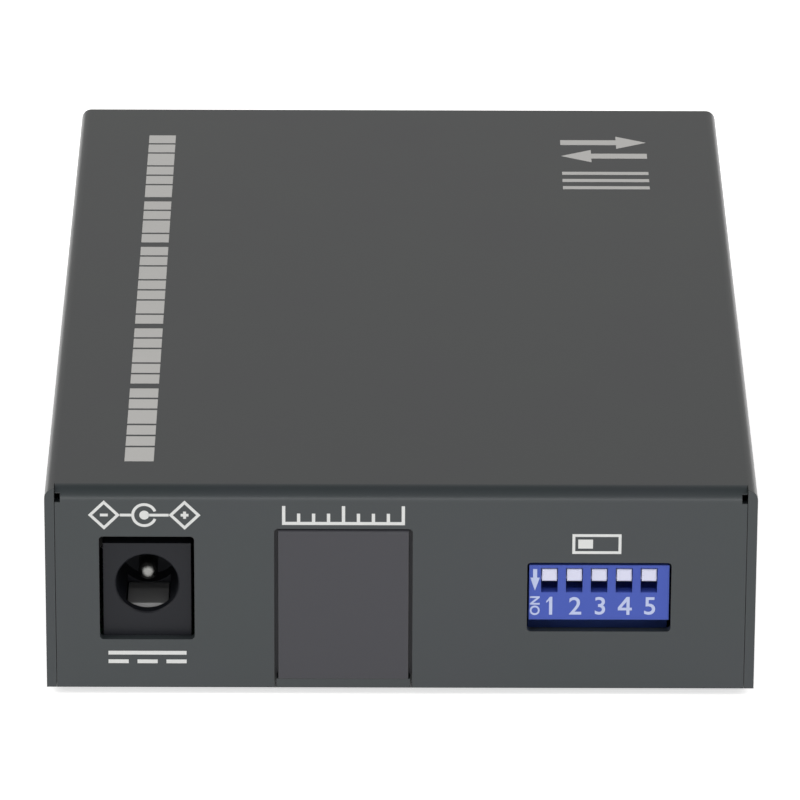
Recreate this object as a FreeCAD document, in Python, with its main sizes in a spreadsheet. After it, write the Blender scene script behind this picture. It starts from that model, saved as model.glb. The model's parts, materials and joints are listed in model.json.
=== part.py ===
import FreeCAD, Part

import os
import re

import Sketcher

# Fibre media converter: a folded steel case with a right-angle DC jack, a blanked opening and a
# five-way slide switch at the rear, and a twisted-pair jack, a duplex fibre receptacle and six lamps
# at the front.
# Frame: origin under the middle of the feet, X to the right as seen from behind, Y from the rear wall
# to the front panel, Z up. Lengths are millimetres.

sizes = {
    # folded case
    "case_width": "72.5",
    "case_depth": "108",
    "case_height": "22.2",
    "cover_gauge": "1",
    "base_gauge": "1",
    "bend_radius": "0.4",
    "side_bend_radius": "0.1",
    "case_fit": "0.15",
    "seam_gap": "0.05",
    "relief_width": "0.6",
    "relief_head": "0.6",
    "relief_drop": "1.5",
    "flange_rise": "11",
    "flange_relief": "0.8",
    "panel_recess": "1",
    "panel_lip": "6",
    "window_rounding": "0.4",
    # screws, standoffs and feet
    "screw_shank": "2.9",
    "thread_clearance": "0.05",
    "cover_screw_head": "5.4",
    "cover_screw_length": "4",
    "cover_screw_rise": "7.4",
    "cover_screw_inset": "19",
    "head_clearance": "0.1",
    "recess_width": "0.6",
    "recess_reach": "2.8",
    "recess_depth": "0.7",
    "board_screw_head": "5.5",
    "board_screw_head_height": "2",
    "board_screw_reach": "1.9",
    "standoff_height": "2.1",
    "standoff_width": "5.5",
    "foot_width": "8",
    "foot_height": "0.8",
    "foot_side_inset": "9.25",
    "foot_end_inset": "10",
    # circuit board
    "board_thickness": "1.6",
    "board_side_gap": "0.6",
    "board_rear_gap": "0.3",
    "board_front_gap": "0.5",
    "board_corner": "1.5",
    "board_hole_side_inset": "4",
    "board_hole_rear_inset": "19.5",
    "board_hole_front_inset": "40.55",
    "lead_clearance": "0.2",
    "lead_reach": "1.2",
    # blanking plate and its notch
    "notch_centre": "-5.85",
    "notch_width": "14.1",
    "notch_drop": "4.4",
    "plate_side_gap": "0.4",
    "plate_top_gap": "0.1",
    "plate_overlap": "2",
    "plate_thickness": "1",
    "plate_edge": "0.4",
    "tongue_gap": "0.2",
    # DC jack
    "jack_inset": "10.35",
    "jack_width": "9",
    "jack_height": "11",
    "jack_depth": "14.4",
    "jack_flange": "3.3",
    "jack_axis": "6.5",
    "jack_bore": "6.4",
    "jack_bore_depth": "9.6",
    "jack_mouth": "0.15",
    "jack_barrel": "8",
    "jack_wall_gap": "0.05",
    "jack_window_side": "0.35",
    "jack_window_sill": "0.7",
    "jack_window_head": "1.2",
    "pin_width": "2",
    "pin_setback": "2.75",
    "pin_tip": "0.5",
    "pin_shank": "1.4",
    "pin_shoulder": "0.3",
    "pin_clearance": "0.05",
    "rivet_width": "3.2",
    "rivet_height": "0.6",
    "blade_gauge": "0.4",
    "blade_width": "2.6",
    "blade_leg": "1.8",
    "blade_rise": "8.4",
    "side_blade_rise": "4.5",
    "side_blade_place": "8.2",
    "spring_gauge": "0.3",
    "spring_width": "4.2",
    "spring_front": "1.3",
    "spring_hump": "5",
    "spring_heel": "7.3",
    "spring_lift": "0.35",
    "spring_dip": "1.9",
    "spring_clearance": "0.15",
    # slide switch
    "switch_inset": "16",
    "switch_ways": "5",
    "way_pitch": "2.54",
    "switch_width": "14.3",
    "switch_height": "6.1",
    "switch_lift": "2.95",
    "switch_depth": "5.4",
    "switch_recess": "0.2",
    "switch_window_side": "0.2",
    "switch_window_sill": "1.25",
    "switch_window_head": "0.35",
    "slot_drop": "0.35",
    "slot_width": "1.7",
    "slider_gap": "0.1",
    "slider_travel": "1.2",
    "knob_height": "1.3",
    "knob_reach": "0.15",
    "knob_edge": "0.12",
    "switch_front_wall": "1.2",
    "shoe_width": "2.1",
    "shoe_height": "1.7",
    "carrier_thickness": "1.6",
    "carrier_overlap": "1",
    "switch_pin": "0.5",
    "switch_pin_inset": "0.7",
    "switch_row_pitch": "2.54",
    "switch_pin_run": "1.2",
    # twisted-pair jack
    "lan_inset": "13.25",
    "lan_width": "16",
    "lan_height": "13",
    "lan_depth": "17",
    "lan_stand_out": "0.8",
    "lan_shield": "0.3",
    "lan_shield_gap": "0.1",
    "lan_window_gap": "0.3",
    "lan_frame_gap": "0.3",
    "lan_housing_depth": "14.3",
    "lan_leg_row": "1.6",
    "lan_post_width": "3.2",
    "lan_post_span": "11.4",
    "lan_post_place": "6",
    "lan_post_clearance": "0.05",
    "lan_tab_width": "1.6",
    "lan_tab_place": "9.5",
    "plug_width": "11.9",
    "plug_height": "6.8",
    "plug_floor": "4.1",
    "plug_depth": "13.2",
    "latch_width": "6.2",
    "latch_drop": "1.5",
    "latch_nose_width": "3.4",
    "latch_nose_drop": "1.3",
    "contact_count": "8",
    "contact_pitch": "1.02",
    "contact_gauge": "0.35",
    "contact_bay": "0.9",
    "contact_bay_side": "0.4",
    "contact_setback": "3",
    "contact_run": "6.5",
    "contact_drop": "2",
    # fibre receptacle and transceiver
    "fibre_inset": "19.25",
    "fibre_pitch": "12.7",
    "fibre_width": "25.4",
    "fibre_height": "9.8",
    "fibre_lift": "0.3",
    "fibre_stand_out": "0.8",
    "fibre_window_gap": "0.3",
    "receptacle_depth": "13",
    "port_width": "9.2",
    "port_height": "7.5",
    "port_depth": "11.4",
    "port_key_width": "2.4",
    "port_key_rise": "0.7",
    "sleeve_width": "4.6",
    "sleeve_bore": "2.5",
    "sleeve_length": "6.9",
    "module_depth": "26.6",
    "module_edge": "0.6",
    "module_pin": "0.5",
    "module_pin_count": "9",
    "module_pin_pitch": "2.54",
    "module_pin_inset": "1.5",
    "module_stud": "1.5",
    "module_stud_span": "20.32",
    "module_stud_inset": "2.5",
    # lamps
    "lamp_centre": "5",
    "lamp_pitch": "5",
    "lamp_columns": "2",
    "lamp_rows": "3",
    "lamp_row_pitch": "4.2",
    "lamp_lift": "2.9",
    "lamp_width": "3.6",
    "lamp_height": "1.8",
    "lamp_edge": "0.3",
    "lamp_rim": "0.4",
    "lamp_rim_depth": "1",
    "lamp_tip_setback": "0.1",
    "lamp_hole_gap": "0.15",
    "lamp_bore_gap": "0.05",
    "holder_depth": "4.2",
    "holder_margin": "0.8",
    "holder_gap": "0.2",
    "lamp_lead": "0.45",
    "lamp_lead_pitch": "2.54",
    "lamp_lead_run": "1.4",
    # parts on the board
    "magnetics_width": "12.7",
    "magnetics_depth": "15.2",
    "magnetics_height": "5.8",
    "magnetics_lift": "0.4",
    "magnetics_gap": "5.7",
    "chip_width": "14",
    "chip_height": "1.4",
    "chip_lift": "0.1",
    "chip_across": "6",
    "chip_along": "-4",
    "chip_edge": "0.3",
    "chip_lead_count": "7",
    "chip_lead_pitch": "1.27",
    "chip_lead_width": "0.45",
    "chip_lead_gauge": "0.2",
    "chip_lead_run": "1",
    "crystal_width": "11.4",
    "crystal_depth": "4.8",
    "crystal_height": "3.5",
    "crystal_rim": "0.4",
    "crystal_corner": "1.2",
    "crystal_gap": "3.6",
    "capacitor_width": "6.3",
    "capacitor_height": "11",
    "capacitor_inset": "9.5",
    "power_row": "-22",
    "capacitor_pitch": "9",
    "coil_width": "7.3",
    "coil_height": "4.5",
    "coil_corner": "1.2",
    "coil_inset": "27.5",
    "regulator_width": "6.5",
    "regulator_depth": "6.1",
    "regulator_height": "2.3",
    "regulator_tab": "1",
    "regulator_tab_gauge": "0.6",
    "regulator_inset": "9.5",
    "regulator_along": "-10",
    "chip_part_length": "1.6",
    "chip_part_width": "0.8",
    "resistor_height": "0.5",
    "ceramic_height": "0.9",
    "chip_part_pitch": "2.2",
    "resistor_count": "6",
    "resistor_inset": "17.5",
    "resistor_along": "-24",
    "ceramic_count": "5",
    "ceramic_gap": "2.8",
    "chip_part_rows": "2",
    "chip_part_row_pitch": "4",
}

doc = FreeCAD.newDocument("MediaConverter")
sheet = doc.addObject("Spreadsheet::Sheet", "Sizes")
for row, (alias, value) in enumerate(sizes.items(), 1):
    sheet.set(f"A{row}", alias)
    sheet.set(f"B{row}", value)
    sheet.setAlias(f"B{row}", alias)
doc.recompute()

sub_parts = []


# Expressions: every length below is a sum of named sizes, kept as text so that it stays bound.

def bound(text):
    return re.sub(r"[a-z][a-z_]*", lambda word: "Sizes." + word.group(0), text)


def number(text):
    return float(sheet.evalExpression(text))


def sub_part(name, across="0", along="0", up="0"):
    body = doc.addObject("PartDesign::Body", name)
    body.Label = name
    for axis, length in (("x", across), ("y", along), ("z", up)):
        body.setExpression(f"Placement.Base.{axis}", bound(length))
    sub_parts.append(body)
    return body


def origin_feature(body, role):
    return next(item for item in body.Origin.OriginFeatures if item.Role == role)


# Sketches

def rectangle(left, right, low, high):
    return [(left, low), (right, low), (right, high), (left, high)]


def hold_point(sketch, line, place, point):
    for kind, length in (("DistanceX", place[0]), ("DistanceY", place[1])):
        rule = sketch.addConstraint(Sketcher.Constraint(kind, -1, 1, line, point, number(length)))
        sketch.setExpression(f"Constraints[{rule}]", bound(length))


def draw_polygon(sketch, corners):
    first = sketch.GeometryCount
    spots = [FreeCAD.Vector(number(across), number(up), 0) for across, up in corners]
    for spot, following in zip(spots, spots[1:] + spots[:1]):
        sketch.addGeometry(Part.LineSegment(spot, following))
    for step, corner in enumerate(corners):
        following = first + (step + 1) % len(corners)
        sketch.addConstraint(Sketcher.Constraint("Coincident", first + step, 2, following, 1))
        hold_point(sketch, first + step, corner, 1)


def draw_circle(sketch, across, up, radius):
    centre = FreeCAD.Vector(number(across), number(up), 0)
    line = sketch.addGeometry(Part.Circle(centre, FreeCAD.Vector(0, 0, 1), number(radius)))
    hold_point(sketch, line, (across, up), 3)
    rule = sketch.addConstraint(Sketcher.Constraint("Radius", line, number(radius)))
    sketch.setExpression(f"Constraints[{rule}]", bound(radius))


def new_sketch(body, name, plane, outlines, offset=("0", "0", "0")):
    sketch = body.newObject("Sketcher::SketchObject", name + "_sketch")
    sketch.AttachmentSupport = [(origin_feature(body, plane + "_Plane"), "")]
    sketch.MapMode = "FlatFace"
    # The XZ plane faces -Y, so a level along +Y is a negative offset from it.
    sign = "-1" if plane == "XZ" else "1"
    sketch.setExpression("AttachmentOffset.Base.x", bound(offset[0]))
    sketch.setExpression("AttachmentOffset.Base.y", bound(offset[1]))
    sketch.setExpression("AttachmentOffset.Base.z", bound(f"{sign} * ({offset[2]})"))
    for outline in outlines:
        if isinstance(outline, tuple):
            draw_circle(sketch, *outline)
        else:
            draw_polygon(sketch, outline)
    doc.recompute()
    return sketch


# Features. Outlines are lists of corners, or (across, up, radius) for a circle; start and end are
# levels along the axis that the sketch plane faces, always counted in the positive direction.

def add(body, name, plane, outlines, start, end):
    sketch = new_sketch(body, name, plane, outlines, ("0", "0", start))
    pad = body.newObject("PartDesign::Pad", name)
    pad.Profile = sketch
    pad.Reversed = plane == "XZ"
    pad.setExpression("Length", bound(f"({end}) - ({start})"))
    doc.recompute()
    return pad


def cut(body, name, plane, outlines, start, end):
    sketch = new_sketch(body, name, plane, outlines, ("0", "0", start))
    before = body.Shape.Volume
    pocket = body.newObject("PartDesign::Pocket", name)
    pocket.Profile = sketch
    pocket.Reversed = plane != "XZ"
    pocket.setExpression("Length", bound(f"({end}) - ({start})"))
    doc.recompute()
    if body.Shape.Volume > before - 1e-6:
        raise ValueError(f"{body.Label}: {name} removed nothing")
    return pocket


def turn(body, name, plane, axis, outline, offset, kind="Revolution"):
    sketch = new_sketch(body, name, plane, [outline], offset)
    feature = body.newObject("PartDesign::" + kind, name)
    feature.Profile = sketch
    feature.ReferenceAxis = (sketch, [axis])
    feature.Angle = 360
    doc.recompute()
    return feature


def repeat(body, name, features, axis, pitch, count, second=None):
    pattern = body.newObject("PartDesign::LinearPattern", name)
    pattern.Originals = features
    pattern.Direction = (origin_feature(body, axis + "_Axis"), [""])
    pattern.setExpression("Length", bound(f"({pitch}) * ({count} - 1)"))
    pattern.setExpression("Occurrences", bound(count))
    if second:
        axis_two, pitch_two, count_two = second
        pattern.Direction2 = (origin_feature(body, axis_two + "_Axis"), [""])
        pattern.setExpression("Length2", bound(f"({pitch_two}) * ({count_two} - 1)"))
        pattern.setExpression("Occurrences2", bound(count_two))
    body.Tip = pattern
    doc.recompute()
    return pattern


def mirror(body, name, features, plane):
    mirrored = body.newObject("PartDesign::Mirrored", name)
    mirrored.Originals = features
    mirrored.MirrorPlane = (origin_feature(body, plane + "_Plane"), [""])
    body.Tip = mirrored
    doc.recompute()
    return mirrored


def edges_along(shape, axis, spots):
    """Names of the straight edges along an axis that pass through any of the given spots."""
    kept = [step for step in range(3) if "XYZ"[step] != axis]
    targets = [tuple(number(length) for length in spot) for spot in spots]
    found = []
    for count, edge in enumerate(shape.Edges, 1):
        if not isinstance(edge.Curve, Part.Line):
            continue
        if abs(edge.Curve.Direction["XYZ".index(axis)]) < 0.999:
            continue
        here = [edge.Vertexes[0].Point[step] for step in kept]
        if any(abs(here[0] - low) + abs(here[1] - high) < 1e-4 for low, high in targets):
            found.append(f"Edge{count}")
    return found


def rims_at(shape, axis, level, radius):
    """Names of the full circles of one radius that lie at a level along an axis."""
    step = "XYZ".index(axis)
    found = []
    for count, edge in enumerate(shape.Edges, 1):
        if not isinstance(edge.Curve, Part.Circle):
            continue
        if abs(edge.Curve.Radius - number(radius)) > 1e-4:
            continue
        if abs(edge.Curve.Center[step] - number(level)) < 1e-4 and abs(edge.Curve.Axis[step]) > 0.999:
            found.append(f"Edge{count}")
    return found


def dress(body, name, kind, edges, length):
    base = body.Tip
    if not edges:
        raise ValueError(f"{body.Label}: {name} found no edges")
    feature = body.newObject("PartDesign::" + kind, name)
    feature.Base = (base, edges)
    feature.setExpression("Radius" if kind == "Fillet" else "Size", bound(length))
    doc.recompute()
    return feature


def round_edges(body, name, axis, spots, radius):
    return dress(body, name, "Fillet", edges_along(body.Tip.Shape, axis, spots), radius)


# Levels that several sub-parts share

floor = "foot_height"
floor_top = "(foot_height + base_gauge)"
roof = "(foot_height + case_height)"
rear = "(-case_depth / 2)"
rear_inside = "(cover_gauge - case_depth / 2)"
cover_inside = "(case_width / 2 - cover_gauge)"
base_side = "(case_width / 2 - cover_gauge - case_fit)"
panel_face = "(case_depth / 2 - panel_recess)"
panel_back = "(case_depth / 2 - panel_recess - base_gauge)"
panel_top = "(foot_height + case_height - cover_gauge - case_fit)"
board_bottom = "(foot_height + base_gauge + standoff_height)"
board_top = "(foot_height + base_gauge + standoff_height + board_thickness)"
below_board = "(-board_thickness - lead_reach)"
plate_back = "(cover_gauge + case_fit + plate_thickness - case_depth / 2)"
board_rear = "(cover_gauge + case_fit + plate_thickness + board_rear_gap - case_depth / 2)"
board_front = "(case_depth / 2 - panel_recess - base_gauge - board_front_gap)"
notch_left = "(notch_centre - notch_width / 2)"
notch_right = "(notch_centre + notch_width / 2)"
notch_top = "(foot_height + case_height - notch_drop)"
screw_level = "(foot_height + cover_screw_rise)"
screw_rear = "(cover_screw_inset - case_depth / 2)"
screw_rows = "(case_depth - 2 * cover_screw_inset)"
board_side = "(case_width / 2 - cover_gauge - case_fit - base_gauge - board_side_gap)"
hole_side = f"({board_side} - board_hole_side_inset)"
hole_rear = f"({board_rear} + board_hole_rear_inset)"
hole_rows = f"({board_front} - board_hole_front_inset - {hole_rear})"
jack_centre = "(jack_inset - case_width / 2)"
switch_centre = "(case_width / 2 - switch_inset)"
lan_centre = "(case_width / 2 - lan_inset)"
fibre_centre = "(fibre_inset - case_width / 2)"
jack_face = "(cover_gauge + jack_wall_gap - case_depth / 2)"
switch_face = "(switch_recess - case_depth / 2)"
switch_floor = "(foot_height + base_gauge + standoff_height + board_thickness + switch_lift)"
lan_face = "(case_depth / 2 - panel_recess + lan_stand_out)"
fibre_face = "(case_depth / 2 - panel_recess + fibre_stand_out)"
lamp_left = "(lamp_centre - lamp_pitch * (lamp_columns - 1) / 2)"
lamp_low = "(foot_height + base_gauge + standoff_height + board_thickness + lamp_lift)"
chip_side = "(chip_width / 2 + chip_lead_run)"


def countersink(side, clearance, depth):
    """Half profile of a countersunk screw, or of its hole, in from one side of the case."""
    outer = "case_width / 2"
    head = f"cover_screw_head / 2 + {clearance}"
    neck = f"screw_shank / 2 + {clearance}"
    cone = "(cover_screw_head / 2 - screw_shank / 2)"
    steps = [("0", "0"), ("0", head), (cone, neck), (depth, neck), (depth, "0")]
    return [(f"{side} * ({outer} - ({inwards}))", radius) for inwards, radius in steps]


def square(across, along, width):
    """Outline of a board hole for a square pin."""
    half = f"({width} / 2 + lead_clearance)"
    return rectangle(f"{across} - {half}", f"{across} + {half}", f"{along} - {half}", f"{along} + {half}")


def lamp_outline(gap):
    """Outline of the first lamp's lens, or of a hole around it."""
    wide = f"(lamp_width / 2 + {gap})"
    high = f"(lamp_height / 2 + {gap})"
    return rectangle(f"{lamp_left} - {wide}", f"{lamp_left} + {wide}",
                     f"{lamp_low} - {high}", f"{lamp_low} + {high}")


def cross(across, up):
    """Outline of a cross recess."""
    near = "recess_width / 2"
    far = "recess_reach / 2"
    steps = [(near, far), (near, near), (far, near)]
    quarters = []
    for side, way in ((1, 1), (1, -1), (-1, -1), (-1, 1)):
        turned = steps if side == way else steps[::-1]
        signs = ["+" if value > 0 else "-" for value in (side, way)]
        quarters += [(f"{across} {signs[0]} {wide}", f"{up} {signs[1]} {high}") for wide, high in turned]
    return quarters


# Cover: roof, sides and rear wall folded from one sheet

def top_cover():
    body = sub_part("top_cover")
    wall = "case_width / 2"
    bend = "(bend_radius + cover_gauge)"
    outline = [
        ("-" + wall, floor), ("-" + wall, roof), (wall, roof), (wall, floor),
        (cover_inside, floor), (cover_inside, f"{roof} - cover_gauge"),
        ("-" + cover_inside, f"{roof} - cover_gauge"), ("-" + cover_inside, floor),
    ]
    add(body, "roof_and_sides", "XZ", [outline], rear, "case_depth / 2")
    round_edges(body, "side_bends", "Y", [("-" + wall, roof), (wall, roof)],
                "(side_bend_radius + cover_gauge)")
    inner_roof = f"{roof} - cover_gauge"
    round_edges(body, "side_bend_insides", "Y",
                [("-" + cover_inside, inner_roof), (cover_inside, inner_roof)], "side_bend_radius")

    # The roof's rear end between the side walls gives way to the bend of the rear wall.
    strip = rectangle("-" + cover_inside, cover_inside, rear, f"{rear} + {bend}")
    cut(body, "rear_bend_room", "XY", [strip], f"{roof} - {bend}", roof)
    wall_edge = f"({cover_inside} - seam_gap)"
    profile = [
        (rear, floor), (rear, roof), (f"{rear} + {bend}", roof), (f"{rear} + {bend}", inner_roof),
        (rear_inside, inner_roof), (rear_inside, floor),
    ]
    add(body, "rear_wall", "YZ", [profile], "-" + wall_edge, wall_edge)
    round_edges(body, "rear_bend", "X", [(rear, roof)], bend)
    round_edges(body, "rear_bend_inside", "X", [(rear_inside, inner_roof)], "bend_radius")
    relief = rectangle(f"{cover_inside} - relief_width", cover_inside,
                       f"{roof} - relief_drop", f"{roof} - relief_head")
    slot = cut(body, "corner_relief", "XZ", [relief], rear, f"{rear} + {bend}")
    mirror(body, "corner_reliefs", [slot], "YZ")

    # Rear windows
    window_side = "(jack_width / 2 + jack_window_side)"
    jack_low = f"({board_top} + jack_window_sill)"
    jack_high = f"({board_top} + jack_height + jack_window_head)"
    jack_left = f"({jack_centre} - {window_side})"
    jack_right = f"({jack_centre} + {window_side})"
    cut(body, "jack_window", "XZ", [rectangle(jack_left, jack_right, jack_low, jack_high)],
        rear, rear_inside)
    switch_side = "(switch_width / 2 + switch_window_side)"
    switch_left = f"({switch_centre} - {switch_side})"
    switch_right = f"({switch_centre} + {switch_side})"
    switch_low = f"({switch_floor} - switch_window_sill)"
    switch_high = f"({switch_floor} + switch_height + switch_window_head)"
    cut(body, "switch_window", "XZ", [rectangle(switch_left, switch_right, switch_low, switch_high)],
        rear, rear_inside)
    cut(body, "notch", "XZ", [rectangle(notch_left, notch_right, floor, notch_top)], rear, rear_inside)
    corners = [(left, low) for left in (jack_left, jack_right) for low in (jack_low, jack_high)]
    corners += [(left, low) for left in (switch_left, switch_right) for low in (switch_low, switch_high)]
    corners += [(notch_left, notch_top), (notch_right, notch_top)]
    round_edges(body, "window_corners", "Y", corners, "window_rounding")

    # Countersunk holes in the sides
    holes = []
    for side in ("-1", "1"):
        hole = countersink(side, "head_clearance", "cover_gauge")
        place = ("0", screw_level, screw_rear)
        holes.append(turn(body, "screw_hole", "XZ", "H_Axis", hole, place, "Groove"))
    repeat(body, "screw_hole_rows", holes, "Y", screw_rows, "2")


# Base: floor, side flanges and front panel folded from one sheet

def base_chassis():
    body = sub_part("base_chassis")
    bend = "(bend_radius + base_gauge)"
    inner = f"({base_side} - base_gauge)"
    flange_top = "(foot_height + flange_rise)"
    outline = [
        ("-" + base_side, flange_top), ("-" + base_side, floor), (base_side, floor),
        (base_side, flange_top), (inner, flange_top), (inner, floor_top),
        ("-" + inner, floor_top), ("-" + inner, flange_top),
    ]
    floor_rear = f"({rear_inside} + case_fit)"
    flange_front = f"({panel_face} - {bend} - flange_relief)"
    add(body, "floor_and_flanges", "XZ", [outline], floor_rear, flange_front)
    round_edges(body, "flange_bends", "Y", [("-" + base_side, floor), (base_side, floor)], bend)
    round_edges(body, "flange_bend_insides", "Y",
                [("-" + inner, floor_top), (inner, floor_top)], "bend_radius")
    lip_end = f"({panel_back} - panel_lip)"
    lip_floor = f"({panel_top} - base_gauge)"
    profile = [
        (flange_front, floor), (panel_face, floor), (panel_face, panel_top), (lip_end, panel_top),
        (lip_end, lip_floor), (panel_back, lip_floor), (panel_back, floor_top),
        (flange_front, floor_top),
    ]
    add(body, "front_panel", "YZ", [profile], f"{bend} - {base_side}", f"{base_side} - {bend}")
    round_edges(body, "panel_bends", "X", [(panel_face, floor), (panel_face, panel_top)], bend)
    round_edges(body, "panel_bend_insides", "X",
                [(panel_back, lip_floor), (panel_back, floor_top)], "bend_radius")
    tongue = rectangle(f"{notch_left} + tongue_gap", f"{notch_right} - tongue_gap", rear, floor_rear)
    add(body, "tongue", "XY", [tongue], floor, floor_top)

    # Front windows: jack, fibre receptacle and lamps
    lan_side = "(lan_width / 2 + lan_window_gap)"
    lan_left = f"({lan_centre} - {lan_side})"
    lan_right = f"({lan_centre} + {lan_side})"
    lan_low = f"({board_top} - lan_window_gap)"
    lan_high = f"({board_top} + lan_height + lan_window_gap)"
    fibre_side = "(fibre_width / 2 + fibre_window_gap)"
    fibre_left = f"({fibre_centre} - {fibre_side})"
    fibre_right = f"({fibre_centre} + {fibre_side})"
    fibre_low = f"({board_top} + fibre_lift - fibre_window_gap)"
    fibre_high = f"({board_top} + fibre_lift + fibre_height + fibre_window_gap)"
    openings = [
        rectangle(lan_left, lan_right, lan_low, lan_high),
        rectangle(fibre_left, fibre_right, fibre_low, fibre_high),
    ]
    cut(body, "front_windows", "XZ", openings, panel_back, panel_face)
    lamp_hole = cut(body, "lamp_hole", "XZ", [lamp_outline("lamp_hole_gap")], panel_back, panel_face)
    repeat(body, "lamp_holes", [lamp_hole], "X", "lamp_pitch", "lamp_columns",
           ("Z", "lamp_row_pitch", "lamp_rows"))

    # Tapped holes through both flanges
    hole = (screw_rear, screw_level, "screw_shank / 2 + head_clearance + thread_clearance")
    screw_holes = cut(body, "screw_holes", "YZ", [hole], "-" + base_side, base_side)
    repeat(body, "screw_hole_rows", [screw_holes], "Y", screw_rows, "2")


# Fasteners and feet

def cover_screws():
    body = sub_part("cover_screws")
    screws = []
    for side in ("-1", "1"):
        outline = countersink(side, "0", "cover_screw_length")
        place = ("0", screw_level, screw_rear)
        screws.append(turn(body, "screw", "XZ", "H_Axis", outline, place))
        face = f"{side} * case_width / 2"
        depth = f"{side} * (case_width / 2 - recess_depth)"
        ends = (face, depth) if side == "-1" else (depth, face)
        screws.append(cut(body, "recess", "YZ", [cross(screw_rear, screw_level)], *ends))
    repeat(body, "screw_rows", screws, "Y", screw_rows, "2")


def board_screws():
    body = sub_part("board_screws", "-" + hole_side, hole_rear, board_top)
    head = "board_screw_head / 2"
    shank = "screw_shank / 2"
    reach = "(-board_thickness - board_screw_reach)"
    outline = [
        ("0", "board_screw_head_height"), (head, "board_screw_head_height"), (head, "0"),
        (shank, "0"), (shank, reach), ("0", reach),
    ]
    screw = turn(body, "screw", "XZ", "V_Axis", outline, ("0", "0", "0"))
    recess = cut(body, "recess", "XY", [cross("0", "0")],
                 "board_screw_head_height - recess_depth", "board_screw_head_height")
    repeat(body, "screw_grid", [screw, recess], "X", f"2 * {hole_side}", "2", ("Y", hole_rows, "2"))


def board_standoffs():
    body = sub_part("board_standoffs", "-" + hole_side, hole_rear, floor_top)
    half = "(standoff_width / 2)"
    point = "(standoff_width / 3 ^ 0.5)"
    corners = [
        (point, "0"), (f"{point} / 2", half), (f"-{point} / 2", half), ("-" + point, "0"),
        (f"-{point} / 2", "-" + half), (f"{point} / 2", "-" + half),
    ]
    standoff = add(body, "standoff", "XY", [corners], "0", "standoff_height")
    bore = cut(body, "bore", "XY", [("0", "0", "screw_shank / 2 + thread_clearance")], "0", "standoff_height")
    repeat(body, "standoff_grid", [standoff, bore], "X", f"2 * {hole_side}", "2", ("Y", hole_rows, "2"))


def rubber_feet():
    body = sub_part("rubber_feet", "foot_side_inset - case_width / 2", "foot_end_inset - case_depth / 2")
    half = "(foot_width / 2)"
    foot = add(body, "foot", "XY", [rectangle("-" + half, half, "-" + half, half)], "0", "foot_height")
    repeat(body, "foot_grid", [foot], "X", "case_width - 2 * foot_side_inset", "2",
           ("Y", "case_depth - 2 * foot_end_inset", "2"))


# Blanking plate: a boss that fills the notch, with a rim behind the wall

def rear_blanking_plate():
    body = sub_part("rear_blanking_plate")
    rim_front = f"({rear_inside} + case_fit)"
    boss = rectangle(f"{notch_left} + plate_side_gap", f"{notch_right} - plate_side_gap",
                     floor_top, f"{notch_top} - plate_top_gap")
    rim = rectangle(f"{notch_left} - plate_overlap", f"{notch_right} + plate_overlap",
                    floor_top, f"{notch_top} + plate_overlap")
    add(body, "rim", "XZ", [rim], rim_front, plate_back)
    add(body, "boss", "XZ", [boss], rear, rim_front)
    round_edges(body, "boss_edge", "X", [(rear, f"{notch_top} - plate_top_gap")], "plate_edge")


# Circuit board

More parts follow.
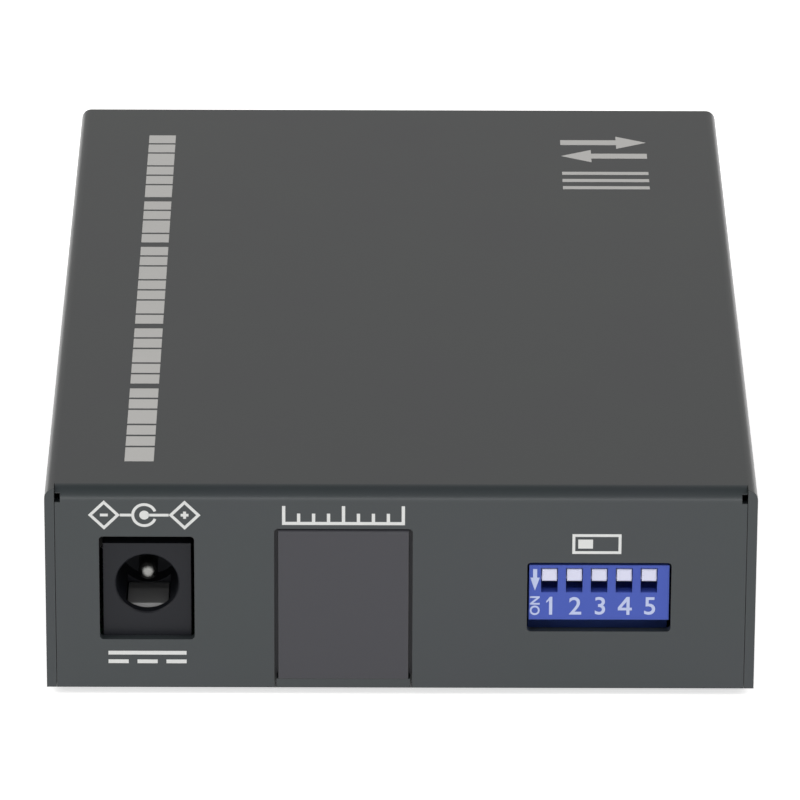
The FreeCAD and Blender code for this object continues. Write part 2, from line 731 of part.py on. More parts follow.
def circuit_board():
    body = sub_part("circuit_board")
    outline = rectangle("-" + board_side, board_side, board_rear, board_front)
    add(body, "laminate", "XY", [outline], board_bottom, board_top)
    corners = [(side, end) for side in ("-" + board_side, board_side) for end in (board_rear, board_front)]
    dress(body, "corners", "Chamfer", edges_along(body.Tip.Shape, "Z", corners), "board_corner")
    hole = ("-" + hole_side, hole_rear, "screw_shank / 2 + lead_clearance")
    screw_hole = cut(body, "screw_hole", "XY", [hole], board_bottom, board_top)
    repeat(body, "screw_holes", [screw_hole], "X", f"2 * {hole_side}", "2", ("Y", hole_rows, "2"))

    # Slots for the blades of the DC jack
    leg = "(blade_leg / 2 + lead_clearance)"
    rear_blade = f"({jack_face} + jack_depth)"
    side_blade = f"({jack_face} + side_blade_place)"
    spring_leg = f"({jack_face} + spring_heel)"
    slots = [
        rectangle(f"{jack_centre} - {leg}", f"{jack_centre} + {leg}",
                  f"{rear_blade} - lead_clearance", f"{rear_blade} + blade_gauge + lead_clearance"),
        rectangle(f"{jack_centre} + jack_barrel / 2 - lead_clearance",
                  f"{jack_centre} + jack_barrel / 2 + blade_gauge + lead_clearance",
                  f"{side_blade} - {leg}", f"{side_blade} + {leg}"),
        rectangle(f"{jack_centre} - {leg}", f"{jack_centre} + {leg}",
                  f"{spring_leg} - spring_gauge - lead_clearance", f"{spring_leg} + lead_clearance"),
    ]
    cut(body, "jack_slots", "XY", slots, board_bottom, board_top)

    # Holes for the pins of the switch, the front connectors and the lamps
    pin_row = f"({switch_face} + switch_depth + carrier_thickness + switch_pin_run + switch_pin / 2)"
    switch_hole = square(f"{switch_centre} - way_pitch * (switch_ways - 1) / 2", pin_row, "switch_pin")
    first = cut(body, "switch_hole", "XY", [switch_hole], board_bottom, board_top)
    repeat(body, "switch_holes", [first], "X", "way_pitch", "switch_ways", ("Y", "switch_row_pitch", "2"))
    pin_row = f"({fibre_face} - receptacle_depth - module_depth + module_pin_inset)"
    module_hole = square(f"{fibre_centre} - module_pin_pitch * (module_pin_count - 1) / 2", pin_row,
                         "module_pin")
    first = cut(body, "module_hole", "XY", [module_hole], board_bottom, board_top)
    repeat(body, "module_holes", [first], "X", "module_pin_pitch", "module_pin_count")
    stud_hole = square(f"{fibre_centre} - module_stud_span / 2",
                       f"{fibre_face} - receptacle_depth - module_stud_inset", "module_stud")
    first = cut(body, "stud_hole", "XY", [stud_hole], board_bottom, board_top)
    repeat(body, "stud_holes", [first], "X", "module_stud_span", "2")
    for row, shift in (("0", "0"), ("1", "lan_leg_row")):
        contact_hole = square(f"{lan_centre} + contact_pitch * ({row} - (contact_count - 1) / 2)",
                              f"{lan_face} - lan_housing_depth - contact_gauge / 2 - {shift}",
                              "contact_gauge")
        first = cut(body, "contact_hole", "XY", [contact_hole], board_bottom, board_top)
        repeat(body, "contact_holes", [first], "X", "2 * contact_pitch", "contact_count / 2")
    post_hole = (f"{lan_centre} - lan_post_span / 2", f"{lan_face} - lan_post_place",
                 "lan_post_width / 2 + lan_post_clearance")
    first = cut(body, "post_hole", "XY", [post_hole], board_bottom, board_top)
    repeat(body, "post_holes", [first], "X", "lan_post_span", "2")
    tab_left = f"({lan_centre} - lan_width / 2)"
    tab_middle = f"({lan_face} - lan_tab_place)"
    tab_slot = rectangle(f"{tab_left} - lead_clearance", f"{tab_left} + lan_shield + lead_clearance",
                         f"{tab_middle} - lan_tab_width / 2 - lead_clearance",
                         f"{tab_middle} + lan_tab_width / 2 + lead_clearance")
    first = cut(body, "tab_slot", "XY", [tab_slot], board_bottom, board_top)
    repeat(body, "tab_slots", [first], "X", "lan_width - lan_shield", "2")
    for row in range(int(number("lamp_rows"))):
        lead_hole = square(f"{lamp_left} - lamp_lead_pitch / 2", lamp_lead_drop(row), "lamp_lead")
        first = cut(body, "lamp_lead_hole", "XY", [lead_hole], board_bottom, board_top)
        repeat(body, "lamp_lead_holes", [first], "X", "lamp_lead_pitch", "2",
               ("X", "lamp_pitch", "lamp_columns"))


# DC jack, in a frame at the foot of its face on the board: Y runs inwards

def jack_part(name):
    return sub_part(name, jack_centre, jack_face, board_top)


def dc_jack_housing():
    body = jack_part("dc_jack_housing")
    bore = "(jack_bore / 2)"
    barrel = "(jack_barrel / 2)"
    half = "(jack_width / 2)"
    add(body, "flange", "XZ", [rectangle("-" + half, half, "0", "jack_height")], "0", "jack_flange")
    add(body, "stem", "XZ", [rectangle("-" + barrel, barrel, "0", "jack_axis")], "jack_flange", "jack_depth")
    add(body, "barrel", "XZ", [("0", "jack_axis", barrel)], "jack_flange", "jack_depth")
    cut(body, "bore", "XZ", [("0", "jack_axis", bore)], "0", "jack_bore_depth")
    rim = rims_at(body.Tip.Shape, "Y", "0", bore)
    dress(body, "mouth", "Chamfer", rim, "jack_mouth")
    cut(body, "pin_hole", "XZ", [("0", "jack_axis", "pin_shank / 2 + pin_clearance")],
        "jack_bore_depth", "jack_depth")
    channel = "(spring_width / 2 + spring_clearance)"
    channel_floor = f"(jack_axis - {bore} - spring_dip)"
    cut(body, "spring_channel", "XZ", [rectangle("-" + channel, channel, channel_floor, "jack_axis")],
        "spring_front - spring_clearance", "spring_heel + spring_clearance")
    leg = "(blade_leg / 2 + spring_clearance)"
    cut(body, "spring_leg_hole", "XY", [rectangle("-" + leg, leg,
        "spring_heel - spring_gauge - spring_clearance", "spring_heel + spring_clearance")],
        "0", channel_floor)


def dc_jack_pin():
    body = jack_part("dc_jack_pin")
    radius = "pin_width / 2"
    shank = "pin_shank / 2"
    shoulder = "(jack_bore_depth - pin_shoulder)"
    rivet = "rivet_width / 2"
    seat = "(jack_depth + blade_gauge)"
    outline = [
        ("pin_setback", "0"), ("pin_setback", f"{radius} - pin_tip"), ("pin_setback + pin_tip", radius),
        (shoulder, radius), (shoulder, shank), (seat, shank), (seat, rivet),
        (f"{seat} + rivet_height", rivet), (f"{seat} + rivet_height", "0"),
    ]
    turn(body, "pin", "YZ", "H_Axis", outline, ("0", "jack_axis", "0"))


def dc_jack_rear_blade():
    body = jack_part("dc_jack_rear_blade")
    half = "(blade_width / 2)"
    leg = "(blade_leg / 2)"
    outline = [
        ("-" + half, "0"), ("-" + half, "blade_rise"), (half, "blade_rise"), (half, "0"),
        (leg, "0"), (leg, below_board), ("-" + leg, below_board), ("-" + leg, "0"),
    ]
    add(body, "blade", "XZ", [outline], "jack_depth", "jack_depth + blade_gauge")
    cut(body, "pin_hole", "XZ", [("0", "jack_axis", "pin_shank / 2 + pin_clearance")],
        "jack_depth", "jack_depth + blade_gauge")


def dc_jack_side_blade():
    body = jack_part("dc_jack_side_blade")
    half = "(blade_width / 2)"
    leg = "(blade_leg / 2)"
    steps = [
        ("-" + half, "0"), ("-" + half, "side_blade_rise"), (half, "side_blade_rise"), (half, "0"),
        (leg, "0"), (leg, below_board), ("-" + leg, below_board), ("-" + leg, "0"),
    ]
    outline = [(f"side_blade_place + {along}", up) for along, up in steps]
    add(body, "blade", "YZ", [outline], "jack_barrel / 2", "jack_barrel / 2 + blade_gauge")


def dc_jack_spring():
    body = jack_part("dc_jack_spring")
    bore_floor = "(jack_axis - jack_bore / 2)"
    half = "(spring_width / 2)"
    leg = "(blade_leg / 2)"
    outline = [
        ("spring_heel", f"{bore_floor} - spring_dip"), ("spring_heel", bore_floor),
        ("spring_hump", f"{bore_floor} + spring_lift"),
        ("spring_front + 2 * spring_gauge", f"{bore_floor} + spring_gauge / 2"),
        ("spring_front", f"{bore_floor} - 2 * spring_gauge"),
        ("spring_front + spring_gauge", f"{bore_floor} - 2 * spring_gauge"),
        ("spring_front + 2 * spring_gauge + spring_gauge / 2", f"{bore_floor} - spring_gauge"),
        ("spring_hump", f"{bore_floor} + spring_lift - spring_gauge"),
        ("spring_heel - spring_gauge", f"{bore_floor} - spring_gauge"),
        ("spring_heel - spring_gauge", f"{bore_floor} - spring_dip"),
    ]
    add(body, "blade", "YZ", [outline], "-" + half, half)
    foot = rectangle("spring_heel - spring_gauge", "spring_heel", below_board, f"{bore_floor} - spring_dip")
    add(body, "leg", "YZ", [foot], "-" + leg, leg)


# Slide switch, in a frame at the middle of its face, on the board: Y runs inwards

def switch_part(name, across="0"):
    return sub_part(name, f"{switch_centre} + {across}", switch_face, board_top)


switch_top = "(switch_lift + switch_height)"
slot_top = "(switch_lift + switch_height - slot_drop)"
first_way = "(-way_pitch * (switch_ways - 1) / 2)"


def switch_housing():
    body = switch_part("switch_housing")
    half = "(switch_width / 2)"
    add(body, "block", "XZ", [rectangle("-" + half, half, "switch_lift", switch_top)], "0", "switch_depth")
    slot_half = "slot_width / 2"
    slot_low = f"{slot_top} - knob_height - slider_travel - 2 * slider_gap"
    slot = rectangle(f"{first_way} - {slot_half}", f"{first_way} + {slot_half}", slot_low, slot_top)
    shoe_half = "(shoe_width / 2 + slider_gap)"
    bay_low = f"{slot_top} - shoe_height - slider_travel - 2 * slider_gap"
    bay = rectangle(f"{first_way} - {shoe_half}", f"{first_way} + {shoe_half}", bay_low, slot_top)
    cuts = [
        cut(body, "slot", "XZ", [slot], "0", "switch_front_wall"),
        cut(body, "bay", "XZ", [bay], "switch_front_wall", "switch_depth"),
    ]
    repeat(body, "ways", cuts, "X", "way_pitch", "switch_ways")


def switch_slider(way):
    body = switch_part(f"switch_slider_{way}", f"way_pitch * ({way} - (switch_ways + 1) / 2)")
    knob_half = "(slot_width / 2 - slider_gap)"
    top = f"({slot_top} - slider_gap)"
    low = f"({top} - knob_height)"
    shoe_front = "(switch_front_wall + slider_gap)"
    add(body, "knob", "XZ", [rectangle("-" + knob_half, knob_half, low, top)], "-knob_reach", shoe_front)
    ends = edges_along(body.Tip.Shape, "X", [("-knob_reach", low), ("-knob_reach", top)])
    ends += edges_along(body.Tip.Shape, "Z", [("-" + knob_half, "-knob_reach"), (knob_half, "-knob_reach")])
    dress(body, "knob_edges", "Chamfer", ends, "knob_edge")
    shoe_half = "(shoe_width / 2)"
    shoe = rectangle("-" + shoe_half, shoe_half, f"{top} - shoe_height", top)
    add(body, "shoe", "XZ", [shoe], shoe_front, "switch_depth - slider_gap")


def switch_carrier():
    body = switch_part("switch_carrier")
    half = "(switch_width / 2)"
    back = "(switch_depth + carrier_thickness)"
    foot_front = "(switch_depth - carrier_overlap)"
    profile = [
        (foot_front, "0"), (back, "0"), (back, switch_top), ("switch_depth", switch_top),
        ("switch_depth", "switch_lift"), (foot_front, "switch_lift"),
    ]
    add(body, "bracket", "YZ", [profile], "-" + half, half)


def switch_pins():
    body = switch_part("switch_pins")
    back = "(switch_depth + carrier_thickness)"
    side = f"{first_way} - switch_pin / 2"
    rows = []
    low_row = "(switch_lift + switch_pin_inset)"
    high_row = f"({switch_top} - switch_pin_inset - switch_pin)"
    for level, run in ((low_row, "switch_pin_run"), (high_row, "(switch_pin_run + switch_row_pitch)")):
        profile = [
            (back, level), (back, f"{level} + switch_pin"),
            (f"{back} + {run} + switch_pin", f"{level} + switch_pin"),
            (f"{back} + {run} + switch_pin", below_board), (f"{back} + {run}", below_board),
            (f"{back} + {run}", level),
        ]
        rows.append(add(body, "pin", "YZ", [profile], side, f"{side} + switch_pin"))
    repeat(body, "ways", rows, "X", "way_pitch", "switch_ways")


# Twisted-pair jack, in a frame at the foot of its face on the board: Y runs outwards

plug_top = "(plug_floor + plug_height)"


def lan_part(name):
    return sub_part(name, lan_centre, lan_face, board_top)


def lan_jack_housing():
    body = lan_part("lan_jack_housing")
    half = "(lan_width / 2 - lan_shield - lan_shield_gap)"
    block = rectangle("-" + half, half, "0", "lan_height - lan_shield - lan_shield_gap")
    add(body, "block", "XZ", [block], "-lan_housing_depth", "-lan_shield")
    plug = "(plug_width / 2)"
    latch = "(latch_width / 2)"
    nose = "(latch_nose_width / 2)"
    latch_floor = "(plug_floor - latch_drop)"
    nose_floor = "(plug_floor - latch_drop - latch_nose_drop)"
    right = [
        (nose, nose_floor), (nose, latch_floor), (latch, latch_floor), (latch, "plug_floor"),
        (plug, "plug_floor"), (plug, plug_top),
    ]
    left = [("-" + across, up) for across, up in reversed(right)]
    cut(body, "plug_opening", "XZ", [right + left], "-plug_depth", "-lan_shield")
    bay = "(contact_pitch * (contact_count - 1) / 2 + contact_gauge / 2 + contact_bay_side)"
    cut(body, "contact_bay", "XZ", [rectangle("-" + bay, bay, plug_top, f"{plug_top} + contact_bay")],
        "-lan_housing_depth", "-contact_setback")
    post = add(body, "post", "XY", [("-lan_post_span / 2", "-lan_post_place", "lan_post_width / 2")],
               below_board, "0")
    repeat(body, "posts", [post], "X", "lan_post_span", "2")


def lan_jack_shield():
    body = lan_part("lan_jack_shield")
    half = "(lan_width / 2)"
    inner = "(lan_width / 2 - lan_shield)"
    add(body, "block", "XZ", [rectangle("-" + half, half, "0", "lan_height")], "-lan_depth", "0")
    corners = [("-" + half, "lan_height"), (half, "lan_height")]
    round_edges(body, "bends", "Y", corners, "lan_shield")
    cut(body, "inside", "XY", [rectangle("-" + inner, inner, "lan_shield - lan_depth", "-lan_shield")],
        "0", "lan_height - lan_shield")
    frame = "(plug_width / 2 + lan_frame_gap)"
    frame_low = "plug_floor - latch_drop - latch_nose_drop - lan_frame_gap"
    cut(body, "mouth", "XZ", [rectangle("-" + frame, frame, frame_low, f"{plug_top} + lan_frame_gap")],
        "-lan_shield", "0")
    tab = rectangle("-lan_tab_place - lan_tab_width / 2", "-lan_tab_place + lan_tab_width / 2",
                    below_board, "0")
    first = add(body, "tab", "YZ", [tab], "-" + half, "-" + inner)
    mirror(body, "tabs", [first], "YZ")


def lan_jack_contacts():
    body = lan_part("lan_jack_contacts")
    top = f"({plug_top} + contact_bay)"
    under = f"({plug_top} + contact_bay - contact_gauge)"
    tip = "(contact_setback + lan_shield)"
    end = f"({tip} + contact_run)"
    low = f"({plug_top} - contact_drop)"
    for row, shift in (("0", "0"), ("1", "lan_leg_row")):
        leg = f"(lan_housing_depth + {shift})"
        profile = [
            (f"-{leg} - contact_gauge", below_board), (f"-{leg}", below_board), (f"-{leg}", under),
            (f"-{tip} - 2 * contact_gauge", under), (f"-{end}", low), (f"-{end}", f"{low} - contact_gauge"),
            (f"-{tip}", f"{under} - contact_gauge / 3"), (f"-{tip}", top), (f"-{leg} - contact_gauge", top),
        ]
        side = f"(contact_pitch * ({row} - (contact_count - 1) / 2) - contact_gauge / 2)"
        first = add(body, "contact", "YZ", [profile], side, f"{side} + contact_gauge")
        repeat(body, "contacts", [first], "X", "2 * contact_pitch", "contact_count / 2")


# Fibre receptacle and transceiver, in a frame at the foot of its face: Y runs outwards

def fibre_part(name, across="0"):
    return sub_part(name, f"{fibre_centre} + {across}", fibre_face, f"{board_top} + fibre_lift")


port_middle = "(fibre_height / 2)"


def fibre_receptacle():
    body = fibre_part("fibre_receptacle")
    half = "(fibre_width / 2)"
    add(body, "block", "XZ", [rectangle("-" + half, half, "0", "fibre_height")], "-receptacle_depth", "0")
    left = "(-fibre_pitch / 2 - port_width / 2)"
    right = "(-fibre_pitch / 2 + port_width / 2)"
    key_left = "(-fibre_pitch / 2 - port_key_width / 2)"
    key_right = "(-fibre_pitch / 2 + port_key_width / 2)"
    low = f"({port_middle} - port_height / 2)"
    high = f"({port_middle} + port_height / 2)"
    outline = [
        (left, low), (right, low), (right, high), (key_right, high), (key_right, f"{high} + port_key_rise"),
        (key_left, f"{high} + port_key_rise"), (key_left, high), (left, high),
    ]
    port = cut(body, "port", "XZ", [outline], "-port_depth", "0")
    repeat(body, "ports", [port], "X", "fibre_pitch", "2")


def fibre_sleeve(name, across):
    body = fibre_part(name, across)
    outer = "sleeve_width / 2"
    bore = "sleeve_bore / 2"
    tip = "(sleeve_length - port_depth)"
    outline = [("-port_depth", bore), ("-port_depth", outer), (tip, outer), (tip, bore)]
    turn(body, "sleeve", "YZ", "H_Axis", outline, ("0", port_middle, "0"))


def transceiver_module():
    body = fibre_part("transceiver_module")
    half = "(fibre_width / 2)"
    back = "(-receptacle_depth - module_depth)"
    add(body, "case", "XZ", [rectangle("-" + half, half, "0", "fibre_height")], back, "-receptacle_depth")
    corners = [("-" + half, "fibre_height"), (half, "fibre_height")]
    dress(body, "top_edges", "Chamfer", edges_along(body.Tip.Shape, "Y", corners), "module_edge")
    stud_row = "(-receptacle_depth - module_stud_inset)"
    stud = rectangle("-module_stud_span / 2 - module_stud / 2", "-module_stud_span / 2 + module_stud / 2",
                     f"{stud_row} - module_stud / 2", f"{stud_row} + module_stud / 2")
    first = add(body, "stud", "XY", [stud], f"{below_board} - fibre_lift", "0")
    repeat(body, "studs", [first], "X", "module_stud_span", "2")


def transceiver_pins():
    body = fibre_part("transceiver_pins")
    middle = "(module_pin_inset - receptacle_depth - module_depth)"
    side = "(-module_pin_pitch * (module_pin_count - 1) / 2)"
    half = "module_pin / 2"
    pin = rectangle(f"{side} - {half}", f"{side} + {half}", f"{middle} - {half}", f"{middle} + {half}")
    first = add(body, "pin", "XY", [pin], f"{below_board} - fibre_lift", "0")
    repeat(body, "pins", [first], "X", "module_pin_pitch", "module_pin_count")


# Lamps: two columns of flat lamps in a holder behind the front panel

holder_front = "(case_depth / 2 - panel_recess - base_gauge - holder_gap)"
holder_back = "(case_depth / 2 - panel_recess - base_gauge - holder_gap - holder_depth)"
lamp_back = "(case_depth / 2 - panel_recess - base_gauge - holder_gap - holder_depth - lamp_rim_depth)"
lamp_tip = "(case_depth / 2 - panel_recess - lamp_tip_setback)"


def lamp_lead_drop(row):
    """Where along Y the leads of one row of lamps turn down into the board."""
    return f"({lamp_back} - lamp_lead_run * ({row} + 1) - lamp_lead / 2)"


def lamp_holder():
    body = sub_part("lamp_holder")
    side = "(lamp_width / 2 + holder_margin)"
    right = f"({lamp_left} + lamp_pitch * (lamp_columns - 1) + {side})"
    top = f"({lamp_low} + lamp_row_pitch * (lamp_rows - 1) + lamp_height / 2 + holder_margin)"
    add(body, "block", "XZ", [rectangle(f"{lamp_left} - {side}", right, board_top, top)],
        holder_back, holder_front)
    bore = cut(body, "bore", "XZ", [lamp_outline("lamp_bore_gap")], holder_back, holder_front)
    repeat(body, "bores", [bore], "X", "lamp_pitch", "lamp_columns", ("Z", "lamp_row_pitch", "lamp_rows"))


def indicator_lamps():
    body = sub_part("indicator_lamps")
    rim = add(body, "rim", "XZ", [lamp_outline("lamp_rim")], lamp_back, holder_back)
    lens = add(body, "lens", "XZ", [lamp_outline("0")], holder_back, lamp_tip)
    sides = [(f"{lamp_left} {sign} lamp_width / 2", lamp_tip) for sign in "-+"]
    ends = edges_along(lens.Shape, "Z", sides)
    ends += edges_along(lens.Shape, "X", [(lamp_tip, f"{lamp_low} {sign} lamp_height / 2") for sign in "-+"])
    bevel = dress(body, "lens_edges", "Chamfer", ends, "lamp_edge")
    repeat(body, "lamps", [rim, lens, bevel], "X", "lamp_pitch", "lamp_columns",
           ("Z", "lamp_row_pitch", "lamp_rows"))


def lamp_leads():
    body = sub_part("lamp_leads", lamp_left)
    half = "(lamp_lead / 2)"
    side = f"(-lamp_lead_pitch / 2 - {half})"
    rows = []
    for row in range(int(number("lamp_rows"))):
        level = f"({lamp_low} + lamp_row_pitch * {row})"
        drop = lamp_lead_drop(row)
        profile = [
            (lamp_back, f"{level} - {half}"), (lamp_back, f"{level} + {half}"),
            (f"{drop} - {half}", f"{level} + {half}"), (f"{drop} - {half}", f"{board_bottom} - lead_reach"),
            (f"{drop} + {half}", f"{board_bottom} - lead_reach"), (f"{drop} + {half}", f"{level} - {half}"),
        ]
        rows.append(add(body, "lead", "YZ", [profile], side, f"{side} + lamp_lead"))
    repeat(body, "leads", rows, "X", "lamp_lead_pitch", "2", ("X", "lamp_pitch", "lamp_columns"))


# Parts soldered to the top of the board

def magnetics_module():
    middle = f"{lan_face} - lan_depth - magnetics_gap - magnetics_depth / 2"
    body = sub_part("magnetics_module", lan_centre, middle, board_top)
    wide = "(magnetics_width / 2)"
    deep = "(magnetics_depth / 2)"
    top = "(magnetics_lift + magnetics_height)"
    add(body, "block", "XY", [rectangle("-" + wide, wide, "-" + deep, deep)], "magnetics_lift", top)
    corners = edges_along(body.Tip.Shape, "Y", [("-" + wide, top), (wide, top)])
    dress(body, "edges", "Chamfer", corners, "module_edge")


def converter_chip():
    body = sub_part("converter_chip", "chip_across", "chip_along", board_top)
    half = "(chip_width / 2)"
    top = "(chip_lift + chip_height)"
    add(body, "block", "XY", [rectangle("-" + half, half, "-" + half, half)], "chip_lift", top)
    corners = [(side, end) for side in ("-" + half, half) for end in ("-" + half, half)]
    dress(body, "corners", "Chamfer", edges_along(body.Tip.Shape, "Z", corners), "chip_edge")


def converter_chip_leads():
    """Flat leads that leave the chip's four sides and lie on the board."""
    body = sub_part("converter_chip_leads", "chip_across", "chip_along", board_top)
    root = "chip_width / 2"
    start = "(-chip_lead_pitch * (chip_lead_count - 1) / 2 - chip_lead_width / 2)"
    for plane, row_axis in (("XZ", "Y"), ("YZ", "X")):
        for side in ("1", "-1"):
            ends = [f"{side} * ({root})", f"{side} * ({root} + chip_lead_run)"]
            lead = add(body, "lead", plane, [rectangle(*ends, "0", "chip_lead_gauge")],
                       start, f"{start} + chip_lead_width")
            repeat(body, "lead_row", [lead], row_axis, "chip_lead_pitch", "chip_lead_count")


def crystal():
    along = f"chip_along + {chip_side} + crystal_gap + crystal_depth / 2"
    body = sub_part("crystal", "chip_across", along, board_top)
    for name, inset, top in (("can", "crystal_rim", "crystal_height"), ("rim", "0", "crystal_rim")):
        wide = f"(crystal_width / 2 - {inset})"
        deep = f"(crystal_depth / 2 - {inset})"
        add(body, name, "XY", [rectangle("-" + wide, wide, "-" + deep, deep)], "0", top)
        corners = [(side, end) for side in ("-" + wide, wide) for end in ("-" + deep, deep)]
        dress(body, name + "_corners", "Chamfer", edges_along(body.Tip.Shape, "Z", corners), "crystal_corner")


def electrolytic_capacitors():
    across = f"capacitor_inset - {board_side}"
    body = sub_part("electrolytic_capacitors", across, "power_row", board_top)
    can = add(body, "can", "XY", [("0", "0", "capacitor_width / 2")], "0", "capacitor_height")
    repeat(body, "cans", [can], "X", "capacitor_pitch", "2")


def power_coil():
    body = sub_part("power_coil", f"coil_inset - {board_side}", "power_row", board_top)
    half = "(coil_width / 2)"
    add(body, "block", "XY", [rectangle("-" + half, half, "-" + half, half)], "0", "coil_height")
    corners = [(side, end) for side in ("-" + half, half) for end in ("-" + half, half)]
    dress(body, "corners", "Chamfer", edges_along(body.Tip.Shape, "Z", corners), "coil_corner")


def voltage_regulator():
    across = f"regulator_inset - {board_side}"
    body = sub_part("voltage_regulator", across, "regulator_along", board_top)
    wide = "(regulator_width / 2)"
    deep = "(regulator_depth / 2)"
    add(body, "block", "XY", [rectangle("-" + wide, wide, "-" + deep, deep)], "0", "regulator_height")
    corners = [("-" + deep, "regulator_height"), (deep, "regulator_height")]
    dress(body, "edges", "Chamfer", edges_along(body.Tip.Shape, "X", corners), "chip_edge")
    tab = "(regulator_width / 2 - regulator_tab)"
    add(body, "tab", "XY", [rectangle("-" + tab, tab, deep, f"{deep} + regulator_tab")],
        "0", "regulator_tab_gauge")


def chip_parts(name, across, along, height, count):
    """Two rows of small chips; the place given is that of the first one."""
    body = sub_part(name, across, along, board_top)
    wide = "(chip_part_width / 2)"
    deep = "(chip_part_length / 2)"
    first = add(body, "chip", "XY", [rectangle("-" + wide, wide, "-" + deep, deep)], "0", height)
    repeat(body, "chips", [first], "X", "chip_part_pitch", count,
           ("Y", "chip_part_row_pitch", "chip_part_rows"))


def build():
    top_cover()
    base_chassis()
    cover_screws()
    board_screws()
    board_standoffs()
    rubber_feet()
    rear_blanking_plate()
    circuit_board()
    dc_jack_housing()
    dc_jack_pin()
    dc_jack_rear_blade()
    dc_jack_side_blade()
    dc_jack_spring()
    switch_housing()
    switch_carrier()
    for way in range(int(number("switch_ways"))):
        switch_slider(way + 1)
    switch_pins()
    lan_jack_housing()
    lan_jack_shield()
    lan_jack_contacts()
    fibre_receptacle()
    fibre_sleeve("fibre_sleeve_left", "-fibre_pitch / 2")
    fibre_sleeve("fibre_sleeve_right", "fibre_pitch / 2")
    transceiver_module()
    transceiver_pins()
    lamp_holder()
    indicator_lamps()
    lamp_leads()
    magnetics_module()
    converter_chip()
    converter_chip_leads()
    crystal()
    electrolytic_capacitors()
    power_coil()
    voltage_regulator()
    chip_parts("chip_resistors", f"{board_side} - resistor_inset", "resistor_along",
               "resistor_height", "resistor_count")
    row = "(chip_part_pitch * (ceramic_count - 1) + chip_part_width / 2)"
    chip_parts("ceramic_capacitors", f"chip_across - {chip_side} - ceramic_gap - {row}",
               "chip_along - chip_part_row_pitch / 2", "ceramic_height", "ceramic_count")


def check():
    for item in doc.Objects:
        if "Invalid" in item.State or "Error" in item.State:
            raise ValueError(f"{item.Name} is {item.State}")
    for body in sub_parts:
        if body.Shape.isNull() or not body.Shape.isValid():
            raise ValueError(f"{body.Label} has no valid shape")


def export():
    os.makedirs("parts", exist_ok=True)
    for body in sub_parts:
        body.Shape.exportStep(f"parts/{body.Label}.step")
        print(f"{body.Label}: {len(body.Shape.Solids)} solid(s), {body.Shape.Volume:.1f} mm3")


build()
doc.recompute()
check()
export()
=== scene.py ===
import json
import math

import bmesh
import bpy
from mathutils import Matrix, Vector


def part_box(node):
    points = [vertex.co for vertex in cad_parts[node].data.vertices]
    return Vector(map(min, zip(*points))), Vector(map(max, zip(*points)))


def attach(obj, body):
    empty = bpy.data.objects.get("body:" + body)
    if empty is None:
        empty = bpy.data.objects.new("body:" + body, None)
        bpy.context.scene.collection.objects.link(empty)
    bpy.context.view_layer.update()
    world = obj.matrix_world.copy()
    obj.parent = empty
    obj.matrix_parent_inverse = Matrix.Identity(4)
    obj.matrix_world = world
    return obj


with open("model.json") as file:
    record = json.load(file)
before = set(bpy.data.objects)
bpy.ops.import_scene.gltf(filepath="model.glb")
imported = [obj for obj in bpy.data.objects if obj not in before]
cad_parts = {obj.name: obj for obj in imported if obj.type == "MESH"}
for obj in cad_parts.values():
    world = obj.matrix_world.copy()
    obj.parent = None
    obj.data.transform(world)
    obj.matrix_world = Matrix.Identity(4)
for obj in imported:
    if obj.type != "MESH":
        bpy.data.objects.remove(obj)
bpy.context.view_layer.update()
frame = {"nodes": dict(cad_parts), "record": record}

mm = 0.001
nodes = frame["nodes"]
print("frame loaded:", len(nodes), "nodes")


# Where things are

def boxOf(node):
    low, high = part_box(node)
    return {"low": low, "high": high, "middle": (low + high) / 2}


cover = boxOf("top_cover")
jack = boxOf("dc_jack_housing")
plate = boxOf("rear_blanking_plate")
switch = boxOf("switch_housing")
sliders = [boxOf(f"switch_slider_{way}") for way in range(1, 6)]
rearFace = cover["low"].y
roof = cover["high"].z
switchDepth = switch["low"].y - rearFace


# Material tools

def feed(tree, socket, value):
    if isinstance(value, bpy.types.NodeSocket):
        tree.links.new(value, socket)
    else:
        socket.default_value = value


def newMaterial(name):
    material = bpy.data.materials.new(name)
    material.use_nodes = True
    tree = material.node_tree
    return material, tree, tree.nodes["Principled BSDF"]


def newGroup(name, inputs, outputs):
    group = bpy.data.node_groups.new(name, "ShaderNodeTree")
    for label, value in inputs.items():
        socket = group.interface.new_socket(label, in_out="INPUT", socket_type="NodeSocketFloat")
        socket.default_value = value
    for label, kind in outputs.items():
        group.interface.new_socket(label, in_out="OUTPUT", socket_type="NodeSocket" + kind)
    return group, group.nodes.new("NodeGroupInput"), group.nodes.new("NodeGroupOutput")


def addNode(tree, kind, settings=None, **values):
    node = tree.nodes.new("ShaderNode" + kind)
    for field, value in (settings or {}).items():
        setattr(node, field, value)
    for label, value in values.items():
        feed(tree, node.inputs[label.replace("_", " ")], value)
    return node


def placeGroup(tree, group, **values):
    node = tree.nodes.new("ShaderNodeGroup")
    node.node_tree = group
    for label, value in values.items():
        node.inputs[label].default_value = value
    return node


def maths(tree, operation, first, second=0.0):
    node = addNode(tree, "Math", {"operation": operation})
    feed(tree, node.inputs[0], first)
    feed(tree, node.inputs[1], second)
    return node.outputs[0]


def remap(tree, value, low, high):
    return addNode(tree, "MapRange", Value=value, To_Min=low, To_Max=high).outputs["Result"]


def mixColours(tree, mask, first, second):
    node = addNode(tree, "Mix", {"data_type": "RGBA"})
    for index, value in ((0, mask), (6, first), (7, second)):
        feed(tree, node.inputs[index], value)
    return node.outputs[2]


def grey(value, tint=(0, 0, 0)):
    return (value + tint[0], value + tint[1], value + tint[2], 1)


# Shared effects

